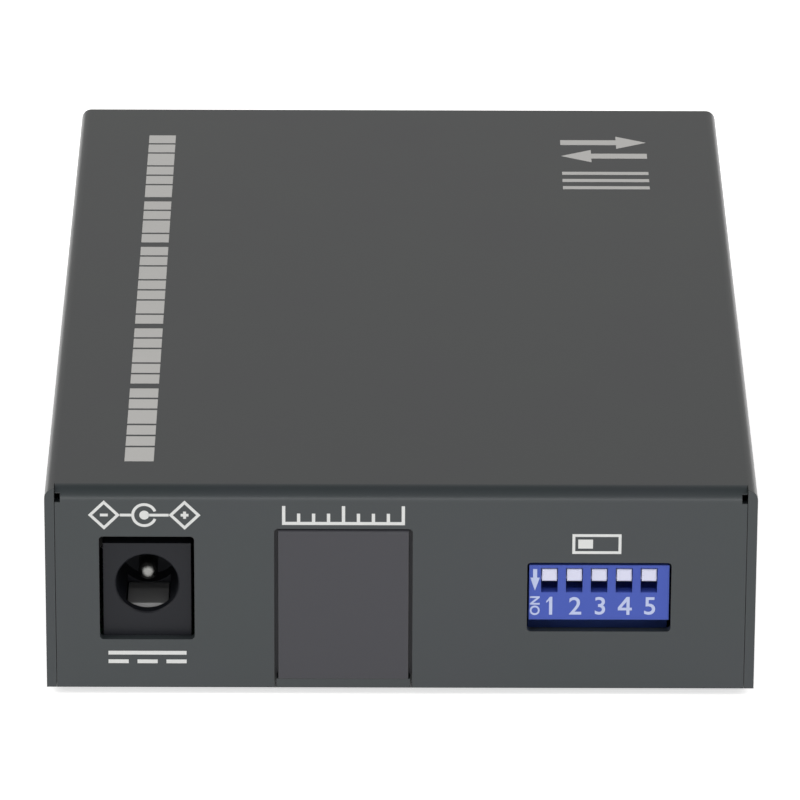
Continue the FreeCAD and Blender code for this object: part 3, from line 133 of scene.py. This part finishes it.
def makeGrain():
    # Fine skin of a paint or a moulding: height for bump, and a slow cloud for colour and gloss
    group, fromOutside, toOutside = newGroup(
        "skinGrain", {"Grain": 1500.0, "Cloud": 30.0}, {"Height": "Float", "Cloud": "Float"})
    place = addNode(group, "TexCoord").outputs["Object"]
    fine = addNode(group, "TexNoise", Vector=place, Scale=fromOutside.outputs["Grain"],
                   Detail=3.0, Roughness=0.55)
    slow = addNode(group, "TexNoise", Vector=place, Scale=fromOutside.outputs["Cloud"],
                   Detail=4.0, Roughness=0.6)
    group.links.new(fine.outputs[0], toOutside.inputs["Height"])
    group.links.new(slow.outputs[0], toOutside.inputs["Cloud"])
    return group


def makeEdges():
    # Rounds sharp edges for the light, and marks them for a paler edge colour painted on as a
    # highlight
    group, fromOutside, toOutside = newGroup(
        "softEdges", {"Radius": 0.0001, "Gain": 3.0}, {"Normal": "Vector", "Mask": "Float"})
    rounded = addNode(group, "Bevel", {"samples": 4}, Radius=fromOutside.outputs["Radius"])
    facing = addNode(group, "NewGeometry").outputs["Normal"]
    agree = addNode(group, "VectorMath", {"operation": "DOT_PRODUCT"})
    group.links.new(rounded.outputs[0], agree.inputs[0])
    group.links.new(facing, agree.inputs[1])
    bend = maths(group, "SUBTRACT", 1.0, agree.outputs["Value"])
    strong = maths(group, "MULTIPLY", bend, fromOutside.outputs["Gain"])
    group.links.new(maths(group, "MINIMUM", strong, 1.0), toOutside.inputs["Mask"])
    group.links.new(rounded.outputs[0], toOutside.inputs["Normal"])
    return group


def makeBrush():
    # Long fine lines of rolled or drawn metal
    group, fromOutside, toOutside = newGroup(
        "drawnLines", {"Across": 4000.0, "Along": 120.0}, {"Height": "Float"})
    place = addNode(group, "TexCoord").outputs["Object"]
    split = addNode(group, "SeparateXYZ", Vector=place)
    across = maths(group, "MULTIPLY", split.outputs["X"], fromOutside.outputs["Across"])
    along = maths(group, "MULTIPLY", split.outputs["Y"], fromOutside.outputs["Along"])
    up = maths(group, "MULTIPLY", split.outputs["Z"], fromOutside.outputs["Across"])
    joined = addNode(group, "CombineXYZ", X=across, Y=along, Z=up)
    lines = addNode(group, "TexNoise", Vector=joined.outputs[0], Scale=1.0, Detail=2.0)
    group.links.new(lines.outputs[0], toOutside.inputs["Height"])
    return group


skinGrain = makeGrain()
softEdges = makeEdges()
drawnLines = makeBrush()


def skinned(name, base, other, rough, grain, bump, edge=None, metallic=0.0, edgeRadius=0.12,
            lined=False, specular=0.5, cloud=30.0):
    # One recipe for paint, plastic, rubber and metal: two colours clouded together, gloss that
    # wanders a little, a fine bump, and edges that catch the light: rounded, and paler along them
    # as a painted highlight
    material, tree, shader = newMaterial(name)
    skin = placeGroup(tree, skinGrain, Grain=grain, Cloud=cloud)
    edges = placeGroup(tree, softEdges, Radius=edgeRadius * mm)
    colour = mixColours(tree, skin.outputs["Cloud"], base, other)
    # Painted highlight: the edge colour is laid along the sharp edges, patchy with the cloud
    if edge:
        paintedEdgeHighlight = maths(tree, "MULTIPLY", edges.outputs["Mask"], skin.outputs["Cloud"])
        colour = mixColours(tree, paintedEdgeHighlight, colour, edge)
    tree.links.new(colour, shader.inputs["Base Color"])
    tree.links.new(remap(tree, skin.outputs["Cloud"], *rough), shader.inputs["Roughness"])
    height = skin.outputs["Height"]
    if lined:
        lines = placeGroup(tree, drawnLines)
        height = maths(tree, "ADD", height, lines.outputs["Height"])
    relief = addNode(tree, "Bump", Height=height, Normal=edges.outputs["Normal"],
                     Strength=1.0, Distance=bump * mm)
    tree.links.new(relief.outputs["Normal"], shader.inputs["Normal"])
    shader.inputs["Metallic"].default_value = metallic
    shader.inputs["Specular IOR Level"].default_value = specular
    return material


def skinnedAll(recipes):
    return {name: skinned(name.replace("_", "") + "Finish", **values)
            for name, values in recipes.items()}


# Finishes: grain and cloud are counts to the metre, bump and edgeRadius are in millimetres;
# edge is a paler colour painted along the edges as a highlight

finishes = {
    "case_paint": dict(
        base=(0.030, 0.040, 0.0405, 1), other=(0.035, 0.039, 0.046, 1), edge=grey(0.06),
        rough=(0.27, 0.33), grain=2600, bump=0.004, cloud=70),
    # The plate's edge is much paler than its face: a painted highlight on its rounded top edge
    "plate_paint": dict(
        base=grey(0.034, (0, 0, 0.008)), other=grey(0.038, (0, 0, 0.009)), edge=grey(0.14),
        rough=(0.38, 0.48), grain=2600, bump=0.004, edgeRadius=0.2),
    "black_plastic": dict(
        base=grey(0.009, (0, 0.001, 0.005)), other=grey(0.012, (0, 0.001, 0.005)),
        edge=grey(0.03), rough=(0.4, 0.5), grain=3500, bump=0.008, specular=0.24),
    "blue_plastic": dict(
        base=(0.048, 0.089, 0.43, 1), other=(0.062, 0.107, 0.49, 1), edge=(0.12, 0.17, 0.6, 1),
        rough=(0.34, 0.44), grain=3000, bump=0.004, specular=0.35),
    "white_plastic": dict(
        base=(0.71, 0.72, 0.90, 1), other=(0.75, 0.76, 0.92, 1), rough=(0.36, 0.46),
        grain=3000, bump=0.003, edgeRadius=0.08),
    "steel": dict(
        base=grey(0.55), other=grey(0.68, (0.02, 0.01, 0)), rough=(0.22, 0.4),
        grain=1800, bump=0.004, metallic=1.0, cloud=900),
    "nickel": dict(
        base=grey(0.62, (0.03, 0.02, 0)), other=grey(0.72, (0.03, 0.02, 0)), rough=(0.16, 0.3),
        grain=2500, bump=0.003, metallic=1.0, lined=True, cloud=400),
    "tin": dict(
        base=grey(0.58), other=grey(0.7), rough=(0.3, 0.45),
        grain=3000, bump=0.004, metallic=1.0, cloud=500),
    "gold": dict(
        base=(0.82, 0.58, 0.22, 1), other=(0.9, 0.68, 0.3, 1), rough=(0.15, 0.28),
        grain=3000, bump=0.002, metallic=1.0, cloud=500),
    "foot_rubber": dict(
        base=grey(0.018), other=grey(0.028), rough=(0.7, 0.85), grain=2200, bump=0.03),
    "chip_epoxy": dict(
        base=grey(0.018), other=grey(0.026), rough=(0.55, 0.7), grain=5000, bump=0.008),
    "ferrite": dict(
        base=grey(0.05), other=grey(0.075), rough=(0.5, 0.7), grain=3500, bump=0.02),
    "can_sleeve": dict(
        base=(0.012, 0.014, 0.03, 1), other=(0.02, 0.022, 0.04, 1), rough=(0.25, 0.35),
        grain=2000, bump=0.003),
    "ceramic": dict(
        base=(0.80, 0.78, 0.74, 1), other=(0.86, 0.84, 0.80, 1), rough=(0.18, 0.28),
        grain=2500, bump=0.002),
}
materials = skinnedAll(finishes)

boardMask = {
    "runScale": 260.0, "offset": 0.37, "squash": 0.6, "squashEvery": 3, "gap": 0.055, "blur": 0.2,
    "grain": 1800, "cloud": 60, "rough": (0.22, 0.34), "relief": 0.03, "reliefStrength": 0.4,
    "base": (0.012, 0.085, 0.03, 1), "other": (0.016, 0.105, 0.04, 1),
    "run": (0.035, 0.19, 0.07, 1),
}


def makeBoardMask():
    # Green solder mask over faint copper runs
    b = boardMask
    material, tree, shader = newMaterial("solderMaskFinish")
    place = addNode(tree, "TexCoord").outputs["Object"]
    layout = {"offset": b["offset"], "squash": b["squash"], "squash_frequency": b["squashEvery"]}
    runs = addNode(tree, "TexBrick", layout, Vector=place, Scale=b["runScale"],
                   Mortar_Size=b["gap"], Mortar_Smooth=b["blur"])
    skin = placeGroup(tree, skinGrain, Grain=b["grain"], Cloud=b["cloud"])
    plain = mixColours(tree, skin.outputs["Cloud"], b["base"], b["other"])
    colour = mixColours(tree, runs.outputs["Fac"], plain, b["run"])
    tree.links.new(colour, shader.inputs["Base Color"])
    tree.links.new(remap(tree, skin.outputs["Cloud"], *b["rough"]), shader.inputs["Roughness"])
    relief = addNode(tree, "Bump", Height=runs.outputs["Fac"], Strength=b["reliefStrength"],
                     Distance=b["relief"] * mm)
    tree.links.new(relief.outputs["Normal"], shader.inputs["Normal"])
    return material


lens = {
    "grain": 900, "cloud": 500, "edgeRadius": 0.3, "edgeGain": 2.0, "rough": (0.12, 0.2),
    "base": (0.20, 0.52, 0.20, 1), "other": (0.26, 0.62, 0.24, 1), "rim": (0.4, 0.8, 0.4, 1),
    "scatter": 0.3, "scatterColour": (0.4, 0.8, 0.4), "scatterDepth": 1.0,
}


def makeLens():
    # Tinted epoxy with a paler rim painted on as a highlight, and a soft glow of scattered light
    # inside
    material, tree, shader = newMaterial("lampLensFinish")
    skin = placeGroup(tree, skinGrain, Grain=lens["grain"], Cloud=lens["cloud"])
    edges = placeGroup(tree, softEdges, Radius=lens["edgeRadius"] * mm, Gain=lens["edgeGain"])
    body = mixColours(tree, skin.outputs["Cloud"], lens["base"], lens["other"])
    colour = mixColours(tree, edges.outputs["Mask"], body, lens["rim"])
    tree.links.new(colour, shader.inputs["Base Color"])
    tree.links.new(edges.outputs["Normal"], shader.inputs["Normal"])
    tree.links.new(remap(tree, skin.outputs["Cloud"], *lens["rough"]), shader.inputs["Roughness"])
    shader.inputs["Subsurface Weight"].default_value = lens["scatter"]
    shader.inputs["Subsurface Radius"].default_value = lens["scatterColour"]
    shader.inputs["Subsurface Scale"].default_value = lens["scatterDepth"] * mm
    return material


materials["board_laminate"] = makeBoardMask()
materials["lamp_epoxy"] = makeLens()

inkColours = {
    "rear": dict(base=(0.72, 0.73, 0.72, 1), other=(0.80, 0.81, 0.80, 1)),
    "roof": dict(base=(0.50, 0.50, 0.49, 1), other=(0.58, 0.58, 0.57, 1)),
    "switch": dict(base=(0.50, 0.57, 0.84, 1), other=(0.57, 0.63, 0.87, 1)),
}
inkSkin = dict(rough=(0.45, 0.6), grain=2600, bump=0.004, edgeRadius=0.02)
inks = {face: skinned(face + "InkFinish", **colours, **inkSkin)
        for face, colours in inkColours.items()}

# Nodes that don't look like the rest of their slot: the jack's pin is turned metal, made dark as
# painted shade so that its glint stays dim; its spring is dull strip; and the switch carrier is
# blue, paler than the switch housing as painted light on the shaded band under the switch
ownFinish = {
    # Painted shade: the pin's dark base keeps its glint dim
    "dc_jack_pin": dict(
        base=grey(0.2, (0.01, 0.01, 0)), other=grey(0.3, (0.01, 0.01, 0)), rough=(0.2, 0.3),
        grain=2500, bump=0.003, metallic=1.0, cloud=400, edgeRadius=0.5),
    "dc_jack_spring": dict(
        base=grey(0.50), other=grey(0.60), rough=(0.34, 0.44),
        grain=2500, bump=0.004, metallic=0.6, cloud=400, edgeRadius=0.15),
    # Painted light: blue like the switch, but paler than its housing, to lift the shaded band under
    # the switch
    "switch_carrier": dict(
        base=(0.085, 0.15, 0.52, 1), other=(0.095, 0.165, 0.56, 1), rough=(0.4, 0.5),
        grain=3500, bump=0.008, specular=0.3),
}
special = skinnedAll(ownFinish)

for part in frame["record"]["subparts"]:
    finish = special.get(part["node"], materials[part["material_slot"]])
    for slot in nodes[part["node"]].material_slots:
        slot.material = finish
print("finishes on the nodes:", len(materials) + len(special))


# Printed marks: thin layers of ink, drawn flat in (across, up) millimetres and laid on a face

inkDepth = 0.02


def bar(left, low, right, high):
    return [(left, low), (right, low), (right, high), (left, high)]


def arc(inner, outer, startAngle, endAngle, steps):
    turn = endAngle - startAngle
    angles = [math.radians(startAngle + turn * step / steps) for step in range(steps + 1)]
    around = [(math.cos(angle), math.sin(angle)) for angle in angles]
    return [[(inner * near, inner * nearUp), (outer * near, outer * nearUp),
             (outer * far, outer * farUp), (inner * far, inner * farUp)]
            for (near, nearUp), (far, farUp) in zip(around, around[1:])]


def disc(radius, sides):
    turns = [2 * math.pi * step / sides for step in range(sides)]
    return [(radius * math.cos(turn), radius * math.sin(turn)) for turn in turns]


def frameOf(outline, width):
    # A closed line of one width inside an outline drawn with its corners in turn
    inner = []
    for before, here, after in zip(outline[-1:] + outline[:-1], outline, outline[1:] + outline[:1]):
        here = Vector(here)
        one = (Vector(before) - here).normalized()
        two = (Vector(after) - here).normalized()
        half = math.acos(max(-1, min(1, one.dot(two)))) / 2
        inner.append(tuple(here + (one + two).normalized() * width / math.sin(half)))
    count = len(outline)
    return [[outline[step], outline[(step + 1) % count], inner[(step + 1) % count], inner[step]]
            for step in range(count)]


def placePiece(name, mesh, finish):
    mesh.materials.append(finish)
    piece = bpy.data.objects.new(name, mesh)
    bpy.context.scene.collection.objects.link(piece)
    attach(piece, "case")
    return piece


def layInk(name, outlines, matrix, finish):
    # matrix takes (across, up, out of the face) in millimetres to the frame
    mesh = bpy.data.meshes.new(name)
    shape = bmesh.new()
    for outline in outlines:
        face = shape.faces.new([shape.verts.new((across, up, 0)) for across, up in outline])
        grown = bmesh.ops.extrude_face_region(shape, geom=[face])
        lifted = [item for item in grown["geom"] if isinstance(item, bmesh.types.BMVert)]
        bmesh.ops.translate(shape, verts=lifted, vec=(0, 0, inkDepth))
    bmesh.ops.recalc_face_normals(shape, faces=shape.faces)
    shape.transform(matrix)
    shape.to_mesh(mesh)
    shape.free()
    return placePiece(name, mesh, finish)


def onRear(across, up, depth=0.0):
    # Faces the rear: out of the wall is -Y
    turn = Matrix(((mm, 0, 0, 0), (0, 0, -mm, 0), (0, mm, 0, 0), (0, 0, 0, 1)))
    return Matrix.Translation((across, rearFace + depth, up)) @ turn


def onRoof():
    # Along the roof is measured from the rear wall
    return Matrix.Translation((0, rearFace, roof)) @ Matrix.Scale(mm, 4)


polarity = {
    "across": -26.1, "up": 20.1, "spread": 4.1, "diamond": 1.62, "line": 0.3, "sign": 0.8,
    "ring": 1.32, "ringSteps": 28, "opening": 21, "dot": 0.5, "dotSides": 20, "overlap": 0.9,
}


def drawPolarity():
    # Two diamonds with their signs, joined to an open ring round a dot
    p = polarity
    thin, sign = p["line"] / 2, p["sign"] / 2
    outlines = []
    for side in (-1, 1):
        middle = side * p["spread"]
        corners = [(middle + p["diamond"], 0), (middle, p["diamond"]),
                   (middle - p["diamond"], 0), (middle, -p["diamond"])]
        outlines += frameOf(corners, p["line"])
        outlines.append(bar(middle - sign, -thin, middle + sign, thin))
        if side > 0:
            outlines.append(bar(middle - thin, thin, middle + thin, sign))
            outlines.append(bar(middle - thin, -sign, middle + thin, -thin))
    inner = p["spread"] - p["diamond"]
    outlines.append(bar(-inner, -thin, -p["ring"], thin))
    outlines.append(bar(p["dot"] * p["overlap"], -thin, inner, thin))
    outlines += arc(p["ring"] - p["line"], p["ring"], p["opening"], 360 - p["opening"],
                    p["ringSteps"])
    outlines.append(disc(p["dot"], p["dotSides"]))
    return layInk("markPolarity", outlines, onRear(p["across"] * mm, p["up"] * mm), inks["rear"])


directCurrent = {"up": 4.2, "width": 8.0, "line": 0.42, "gap": 0.55, "dashes": 3, "dashGap": 0.9}


def drawDirectCurrent():
    # A line over dashes
    p = directCurrent
    half, apart = p["width"] / 2, p["gap"] / 2
    outlines = [bar(-half, apart, half, apart + p["line"])]
    pitch = (p["width"] + p["dashGap"]) / p["dashes"]
    for step in range(p["dashes"]):
        left = -half + step * pitch
        outlines.append(bar(left, -apart - p["line"], left + pitch - p["dashGap"], -apart))
    place = onRear(jack["middle"].x, p["up"] * mm)
    return layInk("markDirectCurrent", outlines, place, inks["rear"])


tickRow = {"up": 20.1, "width": 12.5, "height": 2.1, "line": 0.34, "ticks": 9, "tallEvery": 4,
           "short": 0.6}


def drawTickRow():
    p = tickRow
    half, thin = p["width"] / 2, p["line"] / 2
    low = -p["height"] / 2
    outlines = [bar(-half, low, half, low + p["line"])]
    pitch = (p["width"] - p["line"]) / (p["ticks"] - 1)
    for step in range(p["ticks"]):
        middle = -half + thin + step * pitch
        tall = p["height"] if step % p["tallEvery"] == 0 else p["height"] * p["short"]
        outlines.append(bar(middle - thin, low + p["line"], middle + thin, low + tall))
    place = onRear(plate["middle"].x, p["up"] * mm)
    return layInk("markTickRow", outlines, place, inks["rear"])


switchSign = {"up": 17.0, "aside": -0.3, "width": 5.0, "height": 2.2, "line": 0.3, "knob": 1.5}


def drawSwitchSign():
    # A framed slot with its knob at one end
    p = switchSign
    wide, high = p["width"] / 2, p["height"] / 2
    outlines = frameOf(bar(-wide, -high, wide, high), p["line"])
    edge = 2 * p["line"]
    outlines.append(bar(-wide + edge, -high + edge, -wide + edge + p["knob"], high - edge))
    place = onRear(switch["middle"].x + p["aside"] * mm, p["up"] * mm)
    return layInk("markSwitch", outlines, place, inks["rear"])


rearMarks = (drawPolarity, drawDirectCurrent, drawTickRow, drawSwitchSign)
print("rear marks:", [draw().name for draw in rearMarks])


lettering = {"sizeToHeight": 1.38, "bold": 0.03, "smooth": 4}


def drawWord(name, text, height, matrix):
    # The built-in face, made into a thin solid and centred on its own outline
    curve = bpy.data.curves.new(name, "FONT")
    curve.body = text
    curve.size = height * lettering["sizeToHeight"]
    curve.align_x = "CENTER"
    curve.align_y = "CENTER"
    curve.offset = lettering["bold"]
    curve.extrude = inkDepth / 2
    curve.resolution_u = lettering["smooth"]
    holder = bpy.data.objects.new(name + "Curve", curve)
    bpy.context.scene.collection.objects.link(holder)
    bpy.context.view_layer.update()
    solid = holder.evaluated_get(bpy.context.evaluated_depsgraph_get())
    mesh = bpy.data.meshes.new_from_object(solid)
    bpy.data.objects.remove(holder)
    corners = [vertex.co for vertex in mesh.vertices]
    low = Vector((min(c.x for c in corners), min(c.y for c in corners), 0))
    high = Vector((max(c.x for c in corners), max(c.y for c in corners), 0))
    raised = Matrix.Translation((0, 0, inkDepth / 2))
    mesh.transform(matrix @ raised @ Matrix.Translation(-(low + high) / 2))
    mesh.materials.clear()
    return placePiece(name, mesh, inks["switch"])


digits = {"height": 2.0, "up": 10.0, "shift": 0.12}

# The one and the four are given as outlines at the height of the others, which are lettered
drawnDigits = {
    1: [[(-0.42, 0.5), (-0.05, 1), (0.2, 1), (0.2, -1), (-0.13, -1), (-0.13, 0.58), (-0.42, 0.32)]],
    4: [bar(0.16, -1, 0.48, 1), bar(-0.72, -0.5, 0.16, -0.2), bar(0.48, -0.5, 0.72, -0.2),
        [(-0.72, -0.2), (-0.34, -0.2), (0.16, 0.46), (0.16, 1)]],
}


def drawDigits():
    p = digits
    for way, slider in enumerate(sliders, 1):
        place = onRear(slider["middle"].x + p["shift"] * mm, p["up"] * mm, switchDepth)
        if way in drawnDigits:
            layInk(f"digit_{way}", drawnDigits[way], place, inks["switch"])
        else:
            drawWord(f"digit_{way}", str(way), p["height"], place)


drawDigits()

onSign = {"height": 1.0, "inset": 0.6, "up": 10.0, "neck": 13.15, "tail": 14.1, "tip": 11.7,
          "shaft": 0.42, "head": 0.98}


def drawOn():
    # On, read upwards, under an arrow that points the way the knobs slide
    p = onSign
    across = switch["low"].x + p["inset"] * mm
    quarter = Matrix.Rotation(math.radians(90), 4, "Z")
    drawWord("markOn", "ON", p["height"], onRear(across, p["up"] * mm, switchDepth) @ quarter)
    shaft = bar(-p["shaft"] / 2, p["neck"], p["shaft"] / 2, p["tail"])
    head = [(-p["head"] / 2, p["neck"]), (0, p["tip"]), (p["head"] / 2, p["neck"])]
    layInk("markArrow", [shaft, head], onRear(across, 0, switchDepth), inks["switch"])


drawOn()
print("switch marks: digits, on and arrow")


roofStrip = {"left": -28.3, "right": -25.3, "start": 7.0, "groups": (6, 5, 7, 4, 6), "block": 2.85,
             "long": 1.25, "short": 0.85, "longEvery": 3, "gap": 0.45, "groupGap": 0.9}


def drawRoofStrip():
    # Groups of blocks, long and short, in one column
    p = roofStrip
    outlines = []
    along = p["start"]
    for count in p["groups"]:
        for step in range(count):
            isLong = (step * 2 + count) % p["longEvery"] == 0
            length = p["block"] * (p["long"] if isLong else p["short"])
            outlines.append(bar(p["left"], along, p["right"], along + length))
            along += length + p["gap"]
        along += p["groupGap"]
    print("roof strip ends", round(along, 1), "mm in")
    return layInk("markRoofStrip", outlines, onRoof(), inks["roof"])


emblem = {
    "left": 18.3, "right": 28.0, "line": 1.5, "upperArrow": 97.8, "lowerArrow": 93.6,
    "headLength": 3.4, "headHalf": 1.9, "bars": 3, "firstBar": 83.4, "barPitch": 2.2,
    "barLine": 0.9,
}


def drawEmblem():
    # Two arrows that pass each other, over three bars
    p = emblem
    wide, thin, tall = p["right"] - p["left"], p["line"] / 2, p["headHalf"]
    outlines = []
    for row, way in ((p["upperArrow"], 1), (p["lowerArrow"], -1)):
        tail = p["left"] if way > 0 else p["right"]
        neck = tail + way * (wide - p["headLength"])
        outlines.append(bar(min(tail, neck), row - thin, max(tail, neck), row + thin))
        head = [(neck, row - tall), (tail + way * wide, row), (neck, row + tall)]
        outlines.append(head if way > 0 else head[::-1])
    for step in range(p["bars"]):
        low = p["firstBar"] + step * p["barPitch"]
        outlines.append(bar(p["left"], low, p["right"], low + p["barLine"]))
    return layInk("markEmblem", outlines, onRoof(), inks["roof"])


print("roof marks:", [draw().name for draw in (drawRoofStrip, drawEmblem)])


# Floor, light and camera

stage = {"size": 6.0, "drop": 0.02, "base": grey(0.88), "other": grey(0.9), "rough": 0.9,
         "grain": 300, "cloud": 3, "lift": 0.64, "insideX": 0.9, "insideY": 1.75}


def makeFloor():
    mesh = bpy.data.meshes.new("floor")
    half = stage["size"] / 2
    low = -stage["drop"] * mm
    corners = [(-half, -half, low), (half, -half, low), (half, half, low), (-half, half, low)]
    mesh.from_pydata(corners, [], [(0, 1, 2, 3)])
    floor = bpy.data.objects.new("floor", mesh)
    bpy.context.scene.collection.objects.link(floor)
    material, tree, shader = newMaterial("floorFinish")
    skin = placeGroup(tree, skinGrain, Grain=stage["grain"], Cloud=stage["cloud"])
    colour = mixColours(tree, skin.outputs["Cloud"], stage["base"], stage["other"])
    tree.links.new(colour, shader.inputs["Base Color"])
    shader.inputs["Roughness"].default_value = stage["rough"]
    shader.inputs["Specular IOR Level"].default_value = 0.0
    # A little white of its own for the eye and for reflections; the shadow still shows on it
    path = addNode(tree, "LightPath").outputs
    direct = maths(tree, "ADD", path["Is Camera Ray"], path["Is Glossy Ray"])
    seen = maths(tree, "ADD", direct, path["Is Transmission Ray"])
    # Well under the case the floor is only floor, so that seams and gaps stay dark
    spot = addNode(tree, "SeparateXYZ", Vector=addNode(tree, "TexCoord").outputs["Object"])
    beside = maths(tree, "GREATER_THAN", maths(tree, "ABSOLUTE", spot.outputs["X"]),
                   cover["high"].x - stage["insideX"] * mm)
    beyond = maths(tree, "GREATER_THAN", maths(tree, "ABSOLUTE", spot.outputs["Y"]),
                   cover["high"].y - stage["insideY"] * mm)
    light = maths(tree, "MULTIPLY", seen, maths(tree, "MAXIMUM", beside, beyond))
    white = addNode(tree, "Emission", Color=(1, 1, 1, 1), Strength=stage["lift"])
    both = addNode(tree, "AddShader")
    tree.links.new(shader.outputs[0], both.inputs[0])
    tree.links.new(white.outputs[0], both.inputs[1])
    mixed = addNode(tree, "MixShader")
    tree.links.new(light, mixed.inputs[0])
    tree.links.new(shader.outputs[0], mixed.inputs[1])
    tree.links.new(both.outputs[0], mixed.inputs[2])
    tree.links.new(mixed.outputs[0], tree.nodes["Material Output"].inputs["Surface"])
    mesh.materials.append(material)


makeFloor()

# Strength of the room against height, from the horizon to straight up: bright walls under a dark
# ceiling, with a dimmer wall behind the case
walls = {
    "nearSide": dict(tint=(1, 1, 1),
                     heights={0.0: 0.95, 0.3: 0.82, 0.6: 0.5, 0.8: 0.31, 0.93: 0.17, 1.0: 0.1}),
    "farSide": dict(tint=(1, 0.955, 0.92),
                    heights={0.0: 0.38, 0.22: 0.5, 0.42: 0.54, 0.7: 0.13, 1.0: 0.09}),
}
farWallFrom, farWallTo = 0.76, 0.9


def makeRoom():
    world = bpy.data.worlds.new("room")
    bpy.context.scene.world = world
    world.use_nodes = True
    tree = world.node_tree
    way = addNode(tree, "SeparateXYZ", Vector=addNode(tree, "TexCoord").outputs["Generated"])
    colours = []
    for wall in walls.values():
        ramp = addNode(tree, "ValToRGB", Fac=way.outputs["Z"])
        stops = ramp.color_ramp.elements
        while len(stops) < len(wall["heights"]):
            stops.new(0.5)
        for stop, (height, strength) in zip(stops, wall["heights"].items()):
            stop.position = height
            stop.color = [strength * part for part in wall["tint"]] + [1]
        colours.append(ramp.outputs["Color"])
    behind = addNode(tree, "MapRange", Value=way.outputs["Y"], From_Min=farWallFrom,
                     From_Max=farWallTo).outputs["Result"]
    tree.links.new(mixColours(tree, behind, *colours), tree.nodes["Background"].inputs["Color"])


makeRoom()

lamps = {
    "frontBox": dict(place=(-0.3, -2.2, 0.27), target=(0, 0, 0.02), size=(2.6, 0.5), power=8,
                     tint=(0.96, 0.98, 1)),
    "leftBox": dict(place=(-1.7, -0.5, 1.5), target=(0, 0, 0), size=(1.2, 1.2), power=18,
                    tint=(1, 0.97, 0.93)),
    "rightBox": dict(place=(1.7, -0.5, 1.5), target=(0, 0, 0), size=(1.2, 1.2), power=15,
                     tint=(1, 0.97, 0.94)),
}


def makeLamp(name, place, target, size, power, tint):
    light = bpy.data.lights.new(name, "AREA")
    light.color = tint
    light.shape = "RECTANGLE"
    light.size, light.size_y = size
    light.energy = power
    lamp = bpy.data.objects.new(name, light)
    bpy.context.scene.collection.objects.link(lamp)
    lamp.location = place
    lamp.rotation_euler = (Vector(target) - Vector(place)).to_track_quat("-Z", "Y").to_euler()


for name, values in lamps.items():
    makeLamp(name, **values)

eye = {"elevation": 23.06, "azimuth": 0.25, "distance": 768.0, "shiftUp": 9.09,
       "shiftRight": -0.12, "lens": 340.6, "roll": 0.25, "clip": (0.01, 50)}


def makeCamera():
    # Set out from the middle of the rear top edge of the case
    tilt = math.radians(eye["elevation"])
    side = math.radians(eye["azimuth"])
    ahead = Vector((math.sin(side) * math.cos(tilt), math.cos(side) * math.cos(tilt),
                    -math.sin(tilt)))
    facing = ahead.to_track_quat("-Z", "Y").to_matrix().to_4x4()
    facing = facing @ Matrix.Rotation(math.radians(eye["roll"]), 4, "Z")
    shift = facing @ Vector((eye["shiftRight"], eye["shiftUp"], eye["distance"])) * mm
    data = bpy.data.cameras.new("eye")
    data.lens = eye["lens"]
    data.clip_start, data.clip_end = eye["clip"]
    camera = bpy.data.objects.new("eye", data)
    bpy.context.scene.collection.objects.link(camera)
    camera.location = Vector((0, rearFace, roof)) + shift
    camera.rotation_euler = facing.to_euler()
    bpy.context.scene.camera = camera


makeCamera()
bpy.context.scene.view_settings.view_transform = "Standard"
print("floor, light and camera ready")
